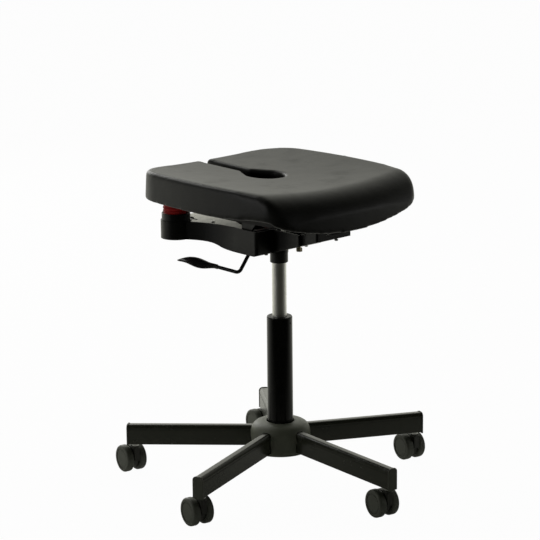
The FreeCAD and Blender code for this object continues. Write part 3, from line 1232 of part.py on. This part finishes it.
def main():
    os.makedirs("parts", exist_ok=True)
    arm = make_arm()
    cap = make_end_cap()
    stem = make_stem()
    angles = arm_angles()
    for index, angle in enumerate(angles, start=1):
        save("arm_%d" % index, turned(arm, angle))
        caster = "caster_%d" % index
        save(caster + "_body", on_caster(make_caster_body(), angle))
        save(caster + "_axle", on_caster(make_axle(), angle))
        save(caster + "_wheel_left", on_caster(make_wheel(1), angle))
        save(caster + "_wheel_right", on_caster(make_wheel(-1), angle))
    save("arm_end_caps", group([turned(cap, angle) for angle in angles]))
    save("caster_stems", group([on_caster(stem, angle) for angle in angles]))
    save("hub_core", make_hub_core())
    save("hub_cover", make_hub_cover())
    save("column_tube", make_column_tube())
    save("guide_bush", make_guide_bush())
    save("bearing_race_lower", make_race(COLUMN_PLATE_TOP))
    save("bearing_race_upper", make_race(UPPER_RACE_BOTTOM))
    save("bearing_balls", make_balls())
    save("retaining_clip", make_clip())
    save("piston_rod", make_rod())
    save("bump_stop", make_bumper())
    save("piston_head", ring(CYLINDER_BORE - RUNNING_FIT, ROD_RADIUS, ROD_TOP - PISTON_HEIGHT, ROD_TOP))
    save("gas_cylinder", make_cylinder())
    save("cylinder_seal", ring(CYLINDER_BORE, ROD_RADIUS + RUNNING_FIT, CYLINDER_BOTTOM + CYLINDER_ROUND,
                               CYLINDER_BOTTOM + CYLINDER_ROUND + SEAL_HEIGHT))
    save("release_button", make_button())
    save("neck_collar", make_collar())
    save("mechanism_housing", make_housing())
    save("housing_screws", make_housing_screws())
    save("tension_bolt", make_tension_bolt())
    save("cover_plate", make_cover_plate())
    lever_pin_low = vector(LEVER_PIVOT_X, -0.5 * LEVER_PIN_LENGTH, LEVER_PIVOT_Z)
    save("lever_pivot_pin", Part.makeCylinder(LEVER_PIN_RADIUS, LEVER_PIN_LENGTH, lever_pin_low, ALONG_Y))
    save("lever_rod", make_lever_rod())
    save("lever_paddle", make_paddle())
    cup = make_cup()
    save("spring_cup_right", cup)
    save("spring_cup_left", mirrored(cup))
    bellows = make_bellows()
    save("bellows_spring_right", bellows)
    save("bellows_spring_left", mirrored(bellows))
    save("spring_studs", make_studs())
    save("hinge_pin", make_hinge_pin())
    save("seat_plate", make_seat_plate())
    save("seat_board", make_board())
    save("board_screws", make_board_screws())
    save("seat_cushion", make_cushion())


main()
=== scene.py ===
"""Looks of a height adjustable stool with a dished, slotted seat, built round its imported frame."""

from __future__ import annotations

import logging
import math
from dataclasses import dataclass, field
from enum import Enum
from typing import Any, Iterable, Protocol, Union

import bmesh
import bpy
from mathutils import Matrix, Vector

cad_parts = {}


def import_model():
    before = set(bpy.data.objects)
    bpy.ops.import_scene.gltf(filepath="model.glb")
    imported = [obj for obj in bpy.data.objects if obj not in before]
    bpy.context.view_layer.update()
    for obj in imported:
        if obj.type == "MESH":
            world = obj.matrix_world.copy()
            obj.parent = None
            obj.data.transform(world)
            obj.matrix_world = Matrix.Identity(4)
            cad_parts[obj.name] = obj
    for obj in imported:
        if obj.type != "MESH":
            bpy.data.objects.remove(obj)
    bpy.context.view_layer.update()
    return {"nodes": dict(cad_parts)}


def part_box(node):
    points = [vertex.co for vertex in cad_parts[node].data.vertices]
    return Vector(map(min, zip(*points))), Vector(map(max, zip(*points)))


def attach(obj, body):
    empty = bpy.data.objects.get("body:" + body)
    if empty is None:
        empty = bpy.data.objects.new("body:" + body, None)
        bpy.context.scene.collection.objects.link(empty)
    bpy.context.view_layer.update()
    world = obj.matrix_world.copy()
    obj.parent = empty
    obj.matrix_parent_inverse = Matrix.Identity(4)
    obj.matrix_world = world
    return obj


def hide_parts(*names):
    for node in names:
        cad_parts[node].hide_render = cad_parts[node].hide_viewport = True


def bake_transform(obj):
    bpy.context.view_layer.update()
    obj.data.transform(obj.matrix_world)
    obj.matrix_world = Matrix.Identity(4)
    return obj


LOG = logging.getLogger("stool")
MERGE_DISTANCE = 1e-5
AXIS_DISTANCE = 1e-6
Colour = tuple[float, float, float]
Number = Union[float, "Wire"]


# Shader maths


class Wire:
    """A shader value: arithmetic on it adds Math nodes."""

    def __init__(self, graph: "Graph", socket: bpy.types.NodeSocket) -> None:
        """Keeps the graph and the output socket that carries the value."""
        self.graph = graph
        self.socket = socket

    def _math(self, operation: str, *values: Number) -> "Wire":
        """Adds one Math node and returns its result."""
        node = self.graph.node("ShaderNodeMath", {"operation": operation}, dict(enumerate(values)))
        return Wire(self.graph, node.outputs[0])

    def __add__(self, other: Number) -> "Wire":
        """Sum."""
        return self._math("ADD", self, other)

    __radd__ = __add__

    def __mul__(self, other: Number) -> "Wire":
        """Product."""
        return self._math("MULTIPLY", self, other)

    __rmul__ = __mul__

    def step(self, low: float, high: float) -> "Wire":
        """Smooth step from 0 at low to 1 at high."""
        settings = {"interpolation_type": "SMOOTHSTEP"}
        ends = {"Value": self, "From Min": low, "From Max": high}
        return Wire(self.graph, self.graph.node("ShaderNodeMapRange", settings, ends).outputs[0])


class Graph:
    """Node tree of one material or of the world."""

    def __init__(self, owner: bpy.types.Material | bpy.types.World) -> None:
        """Empties the owner's node tree."""
        self.owner = owner
        owner.use_nodes = True
        self.tree = owner.node_tree
        self.tree.nodes.clear()

    @classmethod
    def material(cls, name: str) -> "Graph":
        """A graph of a new material."""
        return cls(bpy.data.materials.new(name))

    def node(self, kind: str, settings: dict[str, Any] | None = None,
             inputs: dict[int | str, Any] | None = None) -> bpy.types.Node:
        """Adds a node.

        Args:
            kind: The node's type.
            settings: Its properties, which are set first.
            inputs: Values or links of its sockets, by name or index.

        Returns:
            The node.
        """
        made = self.tree.nodes.new(kind)
        for key, value in (settings or {}).items():
            setattr(made, key, value)
        for key, value in (inputs or {}).items():
            socket = made.inputs[key]
            if isinstance(value, Wire):
                value = value.socket
            if isinstance(value, bpy.types.NodeSocket):
                self.tree.links.new(value, socket)
            elif socket.type == "RGBA" and len(value) == 3:
                socket.default_value = (*value, 1.0)
            else:
                socket.default_value = value
        return made

    def place(self, stretch: tuple[float, float, float] = (1.0, 1.0, 1.0)) -> bpy.types.NodeSocket:
        """Object coordinates, stretched along the axes."""
        coords = self.node("ShaderNodeTexCoord").outputs["Object"]
        return self.node("ShaderNodeMapping", inputs={"Vector": coords, "Scale": stretch}).outputs[0]

    def noise(self, scale: float, detail: float = 4.0, rough: float = 0.55,
              stretch: tuple[float, float, float] = (1.0, 1.0, 1.0)) -> Wire:
        """Noise from 0 to 1.

        Args:
            scale: Cells per metre.
            detail: Number of octaves.
            rough: How strong the fine octaves are.
            stretch: Factors of the coordinates along the axes.

        Returns:
            The pattern.
        """
        made = self.node("ShaderNodeTexNoise", inputs={"Vector": self.place(stretch), "Scale": scale,
                                                       "Detail": detail, "Roughness": rough})
        return Wire(self, made.outputs[0])

    def cells(self, scale: float, feature: str = "F1") -> Wire:
        """Distance pattern of a Voronoi grain at a scale per metre."""
        made = self.node("ShaderNodeTexVoronoi", {"feature": feature},
                         {"Vector": self.place(), "Scale": scale})
        return Wire(self, made.outputs["Distance"])

    def mix(self, factor: Number, first: Any, second: Any) -> bpy.types.NodeSocket:
        """Blends two colours.

        Args:
            factor: Share of the second colour.
            first: Colour or socket at 0.
            second: Colour or socket at 1.

        Returns:
            The blend's socket.
        """
        made = self.node("ShaderNodeMix", {"data_type": "RGBA"}, {0: factor, 6: first, 7: second})
        return made.outputs[2]

    def slope(self, vector: bpy.types.NodeSocket, along: tuple[float, float, float]) -> Wire:
        """How far a vector points along a direction."""
        made = self.node("ShaderNodeVectorMath", {"operation": "DOT_PRODUCT"}, {0: vector, 1: along})
        return Wire(self, made.outputs["Value"])

    def bump(self, height: Wire, depth: float, strength: float = 1.0,
             under: bpy.types.NodeSocket | None = None) -> bpy.types.NodeSocket:
        """Bump of a height pattern.

        Args:
            height: The pattern.
            depth: Its depth in metres.
            strength: How much of it is felt.
            under: A normal that it lies on.

        Returns:
            The normal's socket.
        """
        inputs: dict[int | str, Any] = {"Height": height, "Distance": depth, "Strength": strength}
        if under is not None:
            inputs["Normal"] = under
        return self.node("ShaderNodeBump", inputs=inputs).outputs[0]

    def finish(self, inputs: dict[int | str, Any]) -> bpy.types.Material:
        """Ends the material in a Principled shader with those inputs."""
        shader = self.node("ShaderNodeBsdfPrincipled", inputs=inputs)
        self.node("ShaderNodeOutputMaterial", inputs={"Surface": shader.outputs[0]})
        return self.owner


# Finishes


class Finish(Protocol):
    """What every finish can do."""

    def build(self, name: str) -> bpy.types.Material:
        """Makes the material."""


@dataclass(frozen=True)
class GlossPaint:
    """Stoved gloss paint with a faint orange peel, dust and dull handling marks."""

    colour: Colour = (0.0340, 0.0365, 0.0245)
    dust: Colour = (0.130, 0.134, 0.100)
    rough: float = 0.17
    peel: float = 0.00005
    level: float = 0.5

    def build(self, name: str) -> bpy.types.Material:
        """Makes the material."""
        g = Graph.material(name)
        marks = g.noise(38.0, 5.0, 0.62).step(0.50, 0.72)
        dust = g.noise(900.0, 2.0, 0.5).step(0.66, 0.80)
        colour = g.mix(dust * 0.07 + marks * 0.025, self.colour, self.dust)
        rough = marks * 0.14 + dust * 0.10 + self.rough
        normal = g.bump(g.noise(420.0, 2.0, 0.5), self.peel)
        return g.finish({"Base Color": colour, "Roughness": rough, "Normal": normal,
                         "Specular IOR Level": self.level})


@dataclass(frozen=True)
class CastPaint:
    """Satin paint over a cast or pressed surface, a little rubbed on its high spots."""

    colour: Colour = (0.0030, 0.0030, 0.0026)
    rubbed: Colour = (0.030, 0.030, 0.025)
    rough: float = 0.34
    grain: float = 0.00008
    level: float = 0.45

    def build(self, name: str) -> bpy.types.Material:
        """Makes the material."""
        g = Graph.material(name)
        cast = g.noise(620.0, 4.0, 0.6)
        rubbed = g.noise(55.0, 5.0, 0.65).step(0.52, 0.75)
        colour = g.mix(rubbed * 0.16 + cast * 0.05, self.colour, self.rubbed)
        rough = rubbed * -0.08 + cast * 0.12 + self.rough
        return g.finish({"Base Color": colour, "Roughness": rough, "Normal": g.bump(cast, self.grain),
                         "Specular IOR Level": self.level})


@dataclass(frozen=True)
class MouldedPlastic:
    """Fine grained dark plastic with a little grey dust in the grain."""

    colour: Colour = (0.010, 0.010, 0.0085)
    dusty: Colour = (0.085, 0.086, 0.074)
    rough: float = 0.46
    grain: float = 0.00010
    dust: float = 0.12

    def build(self, name: str) -> bpy.types.Material:
        """Makes the material."""
        g = Graph.material(name)
        grain = g.cells(1500.0)
        patch = g.noise(30.0, 5.0, 0.6).step(0.42, 0.78)
        colour = g.mix(patch * self.dust + grain * 0.04, self.colour, self.dusty)
        rough = patch * 0.12 + grain * 0.08 + self.rough
        return g.finish({"Base Color": colour, "Roughness": rough,
                         "Normal": g.bump(grain, self.grain, 0.8)})


@dataclass(frozen=True)
class FoamSkin:
    """Skin of moulded polyurethane foam: fine leather grain, soft sheen and pale rub marks."""

    colour: Colour = (0.0052, 0.0053, 0.0044)
    worn: Colour = (0.050, 0.052, 0.042)
    rough: float = 0.40

    def build(self, name: str) -> bpy.types.Material:
        """Makes the material."""
        g = Graph.material(name)
        grain = g.cells(1150.0)
        fine = g.noise(2600.0, 3.0, 0.6)
        rub = g.noise(16.0, 6.0, 0.66).step(0.50, 0.74)
        scuff = g.noise(70.0, 6.0, 0.7, (1.0, 0.35, 1.0)).step(0.60, 0.70) * rub
        colour = g.mix(rub * 0.12 + scuff * 0.5 + grain * 0.03, self.colour, self.worn)
        rough = rub * 0.07 + scuff * 0.10 + fine * 0.05 + self.rough
        skin = g.bump(grain * 0.8 + fine * 0.35, 0.00010, 0.7)
        normal = g.bump(g.noise(24.0, 3.0, 0.5), 0.0006, 1.0, skin)
        return g.finish({"Base Color": colour, "Roughness": rough, "Normal": normal,
                         "Specular IOR Level": 0.34})


@dataclass(frozen=True)
class RibbedRubber:
    """Moulded rubber with a dry bloom."""

    colour: Colour = (0.34, 0.0080, 0.0080)
    bloom: Colour = (0.50, 0.036, 0.030)
    rough: float = 0.5

    def build(self, name: str) -> bpy.types.Material:
        """Makes the material."""
        g = Graph.material(name)
        dry = g.noise(140.0, 5.0, 0.62)
        colour = g.mix(dry.step(0.42, 0.72) * 0.3, self.colour, self.bloom)
        return g.finish({"Base Color": colour, "Roughness": dry * 0.2 + self.rough,
                         "Normal": g.bump(g.noise(1300.0), 0.00008), "Specular IOR Level": 0.25})


@dataclass(frozen=True)
class Metal:
    """Bare or plated metal with drawn or brushed lines along one axis."""

    colour: Colour = (0.62, 0.62, 0.60)
    rough: float = 0.3
    stretch: tuple[float, float, float] = (1.0, 1.0, 1.0)
    scale: float = 260.0
    lines: float = 0.10
    depth: float = 0.00002

    def build(self, name: str) -> bpy.types.Material:
        """Makes the material."""
        g = Graph.material(name)
        line = g.noise(self.scale, 3.0, 0.6, self.stretch)
        smear = g.noise(45.0, 4.0, 0.6).step(0.45, 0.8)
        dull = tuple(0.72 * c for c in self.colour)
        colour = g.mix(smear * 0.3 + line * 0.25, self.colour, dull)
        rough = line * self.lines + smear * 0.08 + self.rough
        return g.finish({"Base Color": colour, "Metallic": 1.0, "Roughness": rough,
                         "Normal": g.bump(line, self.depth)})


@dataclass(frozen=True)
class ZincSheet:
    """Zinc plated sheet steel, pale and slightly cloudy."""

    colour: Colour = (0.36, 0.356, 0.325)
    cloud: Colour = (0.24, 0.238, 0.218)
    rough: float = 0.30

    def build(self, name: str) -> bpy.types.Material:
        """Makes the material."""
        g = Graph.material(name)
        cloud = g.noise(48.0, 5.0, 0.6).step(0.35, 0.7)
        flake = g.cells(520.0)
        colour = g.mix(cloud * 0.7 + flake * 0.2, self.colour, self.cloud)
        return g.finish({"Base Color": colour, "Metallic": 0.75, "Roughness": flake * 0.12 + self.rough,
                         "Normal": g.bump(flake, 0.00002)})


@dataclass(frozen=True)
class StainedWood:
    """Plywood stained black, its grain along Y."""

    colour: Colour = (0.010, 0.009, 0.008)
    grain: Colour = (0.035, 0.030, 0.025)

    def build(self, name: str) -> bpy.types.Material:
        """Makes the material."""
        g = Graph.material(name)
        fibre = g.noise(170.0, 6.0, 0.7, (1.0, 0.06, 1.0))
        colour = g.mix(fibre.step(0.4, 0.7), self.colour, self.grain)
        return g.finish({"Base Color": colour, "Roughness": fibre * 0.2 + 0.55,
                         "Normal": g.bump(fibre, 0.00012)})


class Stock(Enum):
    """The finishes of the stool."""

    ARM_PAINT = GlossPaint()
    COLUMN_PAINT = GlossPaint(colour=(0.0013, 0.0013, 0.0012), rough=0.11, peel=0.00003, level=0.45)
    CAST_PAINT = CastPaint()
    PRESSED_PAINT = CastPaint(colour=(0.003, 0.003, 0.003), rough=0.36, grain=0.00005)
    LEVER_PAINT = CastPaint(colour=(0.003, 0.003, 0.005), rough=0.30, grain=0.00003)
    HUB_PLASTIC = MouldedPlastic(colour=(0.150, 0.1600, 0.1200), dusty=(0.24, 0.250, 0.200), rough=0.42)
    ARM_CAP_PLASTIC = MouldedPlastic(colour=(0.0650, 0.0700, 0.0500), rough=0.36, dust=0.08)
    CAP_PLASTIC = MouldedPlastic(colour=(0.0045, 0.0045, 0.0040), rough=0.38, dust=0.08)
    CASTER_PLASTIC = MouldedPlastic(colour=(0.034, 0.0360, 0.0285), rough=0.42)
    WHEEL_PLASTIC = MouldedPlastic(colour=(0.0950, 0.1020, 0.0800), dusty=(0.20, 0.210, 0.17), rough=0.40)
    GRIP_PLASTIC = MouldedPlastic(colour=(0.020, 0.018, 0.019), rough=0.24, grain=0.00003, dust=0.06)
    BLACK_RUBBER = RibbedRubber(colour=(0.012, 0.012, 0.012), bloom=(0.05, 0.05, 0.05))
    RED_RUBBER = RibbedRubber()
    SEAT_SKIN = FoamSkin()
    CHROME = Metal(colour=(0.93, 0.93, 0.88), rough=0.40, stretch=(1.0, 1.0, 0.03), scale=420.0, lines=0.10)
    STEEL = Metal()
    BRIGHT_STEEL = Metal(colour=(0.72, 0.72, 0.70), rough=0.2)
    DARK_STEEL = CastPaint(colour=(0.02, 0.02, 0.02), rough=0.5)
    BRASS = Metal(colour=(0.74, 0.66, 0.48), rough=0.28)
    ZINC = ZincSheet()
    BOARD = StainedWood()


class Paintbox:
    """Makes each finish once."""

    def __init__(self) -> None:
        """Starts empty."""
        self.made: dict[Stock, bpy.types.Material] = {}

    def get(self, stock: Stock) -> bpy.types.Material:
        """The material of a finish."""
        if stock not in self.made:
            self.made[stock] = stock.value.build(stock.name.lower())
        return self.made[stock]


# Mesh helpers


def to_object(bm: bmesh.types.BMesh, name: str, smooth: bool = True) -> bpy.types.Object:
    """Ends a bmesh as a linked object at the origin.

    Args:
        bm: The bmesh, which is freed.
        name: The piece's name.
        smooth: Whether its faces are shaded smooth.

    Returns:
        The object.
    """
    mesh = bpy.data.meshes.new(name)
    bm.to_mesh(mesh)
    bm.free()
    if smooth:
        mesh.shade_smooth()
    made = bpy.data.objects.new(name, mesh)
    bpy.context.scene.collection.objects.link(made)
    return made


def merged_copy(node: bpy.types.Object) -> bmesh.types.BMesh:
    """A copy of a frame mesh with its loose triangles joined."""
    bm = bmesh.new()
    bm.from_mesh(node.data)
    bmesh.ops.remove_doubles(bm, verts=bm.verts, dist=MERGE_DISTANCE)
    return bm


def settle(piece: bpy.types.Object) -> None:
    """Applies a piece's modifiers to its mesh."""
    graph = bpy.context.evaluated_depsgraph_get()
    baked = bpy.data.meshes.new_from_object(piece.evaluated_get(graph))
    piece.modifiers.clear()
    piece.data = baked


def spun(profile: Iterable[tuple[float, float]], steps: int) -> bmesh.types.BMesh:
    """Spins an open outline of (radius, z) points round Z.

    Args:
        profile: The outline from its first to its last point.
        steps: Number of facets round the axis.

    Returns:
        The bmesh, closed at the axis where the outline meets it.
    """
    bm = bmesh.new()
    verts = [bm.verts.new((r, 0.0, z)) for r, z in profile]
    edges = [bm.edges.new(pair) for pair in zip(verts, verts[1:])]
    bmesh.ops.spin(bm, geom=[*verts, *edges], cent=(0, 0, 0), axis=(0, 0, 1), angle=2 * math.pi,
                   steps=steps, use_merge=True)
    bmesh.ops.remove_doubles(bm, verts=bm.verts, dist=AXIS_DISTANCE)
    bmesh.ops.recalc_face_normals(bm, faces=bm.faces)
    return bm


@dataclass
class Workshop:
    """What every sub-assembly needs: the frame's nodes and the finishes."""

    nodes: dict[str, bpy.types.Object]
    paints: Paintbox

    def dress(self, stock: Stock, *names: str) -> None:
        """Gives frame nodes a finish.

        Args:
            stock: The finish.
            names: The nodes' names.
        """
        for name in names:
            self.coat(self.nodes[name], stock)

    def coat(self, piece: bpy.types.Object, stock: Stock) -> None:
        """Gives one object a finish.

        Args:
            piece: The object.
            stock: The finish.
        """
        material = self.paints.get(stock)
        if not piece.material_slots:
            piece.data.materials.append(material)
        for slot in piece.material_slots:
            slot.material = material

    def fit(self, piece: bpy.types.Object, body: str, stock: Stock, slot: str, *replaced: str) -> None:
        """Coats a new piece, hangs it on its body and lets it stand for frame nodes.

        Args:
            piece: The piece.
            body: The body that it moves with.
            stock: Its finish.
            slot: Not used.
            replaced: The frame nodes that it stands for.
        """
        self.coat(piece, stock)
        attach(piece, body)
        if replaced:
            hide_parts(*replaced)
        LOG.info("piece %s on %s, %d faces", piece.name, body, len(piece.data.polygons))


# Sub-assemblies


@dataclass
class SeatCushion:
    """Moulded foam seat with its rolled edges and softly blended front corners."""

    shop: Workshop
    voxel: float = 0.0026
    soften: float = 0.5
    rounds: int = 14
    corner_rounds: int = 60
    corner_width: float = 0.055
    corner_middle: float = 0.045
    corner_reach: float = 0.070
    corner_gain: float = 2.0
    swell: float = 0.0007
    hole_y: float = 0.039
    hole_radius: float = 0.036
    hole_stretch: float = 0.0075
    hole_fade: float = 0.045
    hole_lip: float = 0.009

    def corner(self, place: Vector, low: Vector, high: Vector) -> float:
        """How near a point is to the meeting of a side wall and the rolled front.

        Args:
            place: The point.
            low: Lower corner of the cushion's box.
            high: Upper corner of the cushion's box.

        Returns:
            A share from 0 to 1.
        """
        side = min(place.x - low.x, high.x - place.x)
        near = max(0.0, 1.0 - side / self.corner_width)
        ahead = max(0.0, 1.0 - abs(place.y - low.y - self.corner_middle) / self.corner_reach)
        return min(1.0, self.corner_gain * near) * min(1.0, self.corner_gain * ahead)

    def stretch_hole(self, place: Vector, floor: float) -> float:
        """How far a point near the front of the relief hole moves forwards.

        Args:
            place: The point.
            floor: Height of the board's top, below which nothing moves.

        Returns:
            The distance in metres.
        """
        outside = max(0.0, math.hypot(place.x, place.y - self.hole_y) - self.hole_radius)
        near = max(0.0, 1.0 - outside / self.hole_fade)
        ahead = min(1.0, max(0.0, (self.hole_y - place.y) / self.hole_radius))
        above = min(1.0, max(0.0, (place.z - floor) / self.hole_lip))
        return self.hole_stretch * near * near * (3.0 - 2.0 * near) * ahead * above

    def build(self) -> None:
        """Makes the cushion."""
        cushion = to_object(merged_copy(self.shop.nodes["seat_cushion"]), "seat_foam_cushion")
        remesh = cushion.modifiers.new("even", "REMESH")
        remesh.mode = "VOXEL"
        remesh.voxel_size = self.voxel
        soften = cushion.modifiers.new("soften", "SMOOTH")
        soften.factor = self.soften
        soften.iterations = self.rounds
        settle(cushion)
        corners_group = cushion.vertex_groups.new(name="corners")
        low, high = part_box("seat_cushion")
        board_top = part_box("seat_board")[1].z
        for vertex in cushion.data.vertices:
            vertex.co.y -= self.stretch_hole(vertex.co, board_top)
            share = self.corner(vertex.co, low, high)
            if share > 0.0:
                corners_group.add([vertex.index], share, "REPLACE")
        blend = cushion.modifiers.new("blend", "SMOOTH")
        blend.factor = self.soften
        blend.iterations = self.corner_rounds
        blend.vertex_group = corners_group.name
        swell = cushion.modifiers.new("swell", "DISPLACE")
        swell.strength = self.swell
        swell.mid_level = 0.0
        settle(cushion)
        cushion.data.shade_smooth()
        self.shop.fit(cushion, "seat", Stock.SEAT_SKIN, "seat_foam", "seat_cushion")


@dataclass
class RibbedSpring:
    """Red ribbed rubber sleeve with round ribs, which stretches between its cup and the seat."""

    shop: Workshop
    radius: float = 0.0254
    valley: float = 0.0235
    ribs: int = 6
    per_rib: int = 10
    steps: int = 96
    fullness: float = 0.7
    grip: float = 0.004

    def build(self, side: str) -> None:
        """Makes the sleeve of one side.

        Args:
            side: left or right.
        """
        low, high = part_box("bellows_spring_" + side)
        middle = (low + high) / 2
        count = self.ribs * self.per_rib
        profile = []
        for index in range(count + 1):
            wave = 0.5 - 0.5 * math.cos(2 * math.pi * index / self.per_rib)
            radius = self.valley + (self.radius - self.valley) * wave ** self.fullness
            profile.append((radius, low.z + (high.z - low.z) * index / count))
        profile = [(0.0, low.z), *profile, (0.0, high.z)]
        bm = spun(profile, self.steps)
        bmesh.ops.translate(bm, verts=bm.verts, vec=(middle.x, middle.y, 0.0))
        sleeve = to_object(bm, "red_ribbed_spring_" + side)
        self.shop.coat(sleeve, Stock.RED_RUBBER)
        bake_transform(sleeve)
        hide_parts("bellows_spring_" + side)
        LOG.info("piece %s between carrier and seat", sleeve.name)


@dataclass
class Mechanism:
    """Cast tray, its light sheet, the springs' cups, the lever and the fasteners."""

    shop: Workshop

    def build(self) -> None:
        """Dresses the mechanism's nodes."""
        shop = self.shop
        shop.dress(Stock.CAST_PAINT, "mechanism_housing", "spring_cup_left", "spring_cup_right")
        shop.dress(Stock.PRESSED_PAINT, "seat_plate")
        shop.dress(Stock.ZINC, "cover_plate")
        shop.dress(Stock.BRASS, "tension_bolt")
        shop.dress(Stock.STEEL, "housing_screws", "spring_studs", "hinge_pin", "lever_pivot_pin",
                   "board_screws")
        shop.dress(Stock.LEVER_PAINT, "lever_rod")
        shop.dress(Stock.GRIP_PLASTIC, "lever_paddle")
        shop.dress(Stock.BOARD, "seat_board")


@dataclass
class Lift:
    """Column, gas cylinder and the hidden parts of the lift."""

    shop: Workshop

    def build(self) -> None:
        """Dresses the lift's nodes."""
        shop = self.shop
        shop.dress(Stock.COLUMN_PAINT, "column_tube")
        shop.dress(Stock.CAP_PLASTIC, "guide_bush", "neck_collar", "release_button")
        shop.dress(Stock.CHROME, "gas_cylinder")
        shop.dress(Stock.BRIGHT_STEEL, "piston_rod", "bearing_balls")
        shop.dress(Stock.STEEL, "piston_head", "bearing_race_lower", "bearing_race_upper", "retaining_clip")
        shop.dress(Stock.BLACK_RUBBER, "bump_stop", "cylinder_seal")


@dataclass
class StarBase:
    """Five arms, hub and the casters."""

    shop: Workshop
    arms: int = 5

    def build(self) -> None:
        """Dresses the base's nodes."""
        shop = self.shop
        shop.dress(Stock.ARM_PAINT, *[f"arm_{n}" for n in self.numbers()])
        shop.dress(Stock.ARM_CAP_PLASTIC, "arm_end_caps")
        shop.dress(Stock.HUB_PLASTIC, "hub_cover")
        shop.dress(Stock.DARK_STEEL, "hub_core")
        shop.dress(Stock.BRIGHT_STEEL, "caster_stems")
        for n in self.numbers():
            shop.dress(Stock.CASTER_PLASTIC, f"caster_{n}_body")
            shop.dress(Stock.STEEL, f"caster_{n}_axle")
            shop.dress(Stock.WHEEL_PLASTIC, f"caster_{n}_wheel_left", f"caster_{n}_wheel_right")

    def numbers(self) -> range:
        """The arms' numbers."""
        return range(1, self.arms + 1)


# Studio


@dataclass
class Studio:
    """White sweep lit from behind, with a dark room overhead and on the camera's side."""

    place: tuple[float, float, float] = (-2.7901, -3.0721, 1.4309)
    turn_deg: tuple[float, float, float] = (76.4149, 0.5275, -42.1297)
    lens: float = 147.537
    floor_half: float = 30.0
    away: tuple[float, float, float] = (0.60, 0.80, 0.05)
    room: Colour = (0.020, 0.020, 0.016)
    sweep: Colour = (1.0, 1.0, 0.90)
    paper: float = 0.9
    glow_share: float = 0.975
    floor_fade: tuple[float, float] = (-0.7, 1.7)
    sky_fade: tuple[float, float] = (0.15, 0.96)
    aim: tuple[float, float, float] = (0.0, 0.0, 0.45)
    lamps: list[tuple[str, tuple[float, float, float], float, float]] = field(default_factory=lambda: [
        ("behind", (1.0, 3.2, 1.5), 1.6, 18.0),
        ("edge", (-0.65, 2.10, 2.60), 1.1, 9.0),
        ("left", (-2.9, 1.2, 0.9), 1.0, 8.0),
        ("right", (2.6, -2.4, 0.9), 0.8, 4.5),
    ])

    def build(self) -> None:
        """Sets up the whole studio."""
        self.camera()
        self.floor()
        self.world()
        for name, place, size, power in self.lamps:
            self.lamp(name, Vector(place), size, power)
        bpy.context.scene.view_settings.view_transform = "Standard"

    def camera(self) -> None:
        """Camera at the photograph's place."""
        data = bpy.data.cameras.new("camera")
        data.sensor_width = 36.0
        data.lens = self.lens
        data.clip_end = 100.0
        made = bpy.data.objects.new("camera", data)
        made.location = self.place
        made.rotation_euler = [math.radians(a) for a in self.turn_deg]
        bpy.context.scene.collection.objects.link(made)
        bpy.context.scene.camera = made

    def floor(self) -> None:
        """White floor that keeps a faint shadow and whose white ends in front of the stool."""
        bm = bmesh.new()
        bmesh.ops.create_grid(bm, x_segments=1, y_segments=1, size=self.floor_half)
        made = to_object(bm, "floor", False)
        g = Graph.material("floor_white")
        seen, glossy = self.rays(g)
        where = g.slope(g.node("ShaderNodeTexCoord").outputs["Object"], self.away).step(*self.floor_fade)
        shade = g.mix(seen, g.mix(where, self.room, self.sweep), (1.0, 1.0, 1.0))
        paper = g.node("ShaderNodeBsdfDiffuse", inputs={"Color": (self.paper,) * 3}).outputs[0]
        glow = g.node("ShaderNodeEmission", inputs={"Color": shade}).outputs[0]
        both = g.node("ShaderNodeMixShader", inputs={0: seen * self.glow_share + glossy, 1: paper, 2: glow})
        g.node("ShaderNodeOutputMaterial", inputs={"Surface": both.outputs[0]})
        made.data.materials.append(g.owner)

    def rays(self, g: Graph) -> tuple[Wire, Wire]:
        """What kind of ray looks at a surface.

        Args:
            g: The graph that asks.

        Returns:
            Whether it comes straight or through glass from the camera, and whether it is a reflection.
        """
        path = g.node("ShaderNodeLightPath")
        seen = g.node("ShaderNodeMath", {"operation": "MAXIMUM"},
                      {0: path.outputs["Is Camera Ray"], 1: path.outputs["Is Transmission Ray"]})
        return Wire(g, seen.outputs[0]), Wire(g, path.outputs["Is Glossy Ray"])

    def world(self) -> None:
        """White behind the stool, dim on the camera's side, and white wherever the camera looks."""
        world = bpy.data.worlds.new("studio")
        bpy.context.scene.world = world
        g = Graph(world)
        seen = self.rays(g)[0]
        where = g.slope(g.node("ShaderNodeTexCoord").outputs["Generated"], self.away).step(*self.sky_fade)
        shade = g.mix(seen, g.mix(where, self.room, self.sweep), (1.0, 1.0, 1.0))
        back = g.node("ShaderNodeBackground", inputs={"Color": shade, "Strength": 1.0})
        g.node("ShaderNodeOutputWorld", inputs={"Surface": back.outputs[0]})

    def lamp(self, name: str, place: Vector, size: float, power: float) -> None:
        """One soft area lamp that faces the stool.

        Args:
            name: The lamp's name.
            place: Where it stands.
            size: Its width in metres.
            power: Its power in watts.
        """
        data = bpy.data.lights.new(name, "AREA")
        data.shape = "DISK"
        data.size = size
        data.energy = power
        made = bpy.data.objects.new("lamp_" + name, data)
        made.location = place
        made.rotation_euler = (Vector(self.aim) - place).to_track_quat("-Z", "Y").to_euler()
        bpy.context.scene.collection.objects.link(made)


def main() -> None:
    """Builds the stool's looks in order."""
    logging.basicConfig(level=logging.INFO, format="%(message)s")
    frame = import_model()
    shop = Workshop(frame["nodes"], Paintbox())
    Studio().build()
    StarBase(shop).build()
    Lift(shop).build()
    Mechanism(shop).build()
    spring = RibbedSpring(shop)
    spring.build("left")
    spring.build("right")
    SeatCushion(shop).build()


if __name__ == "__main__":
    main()
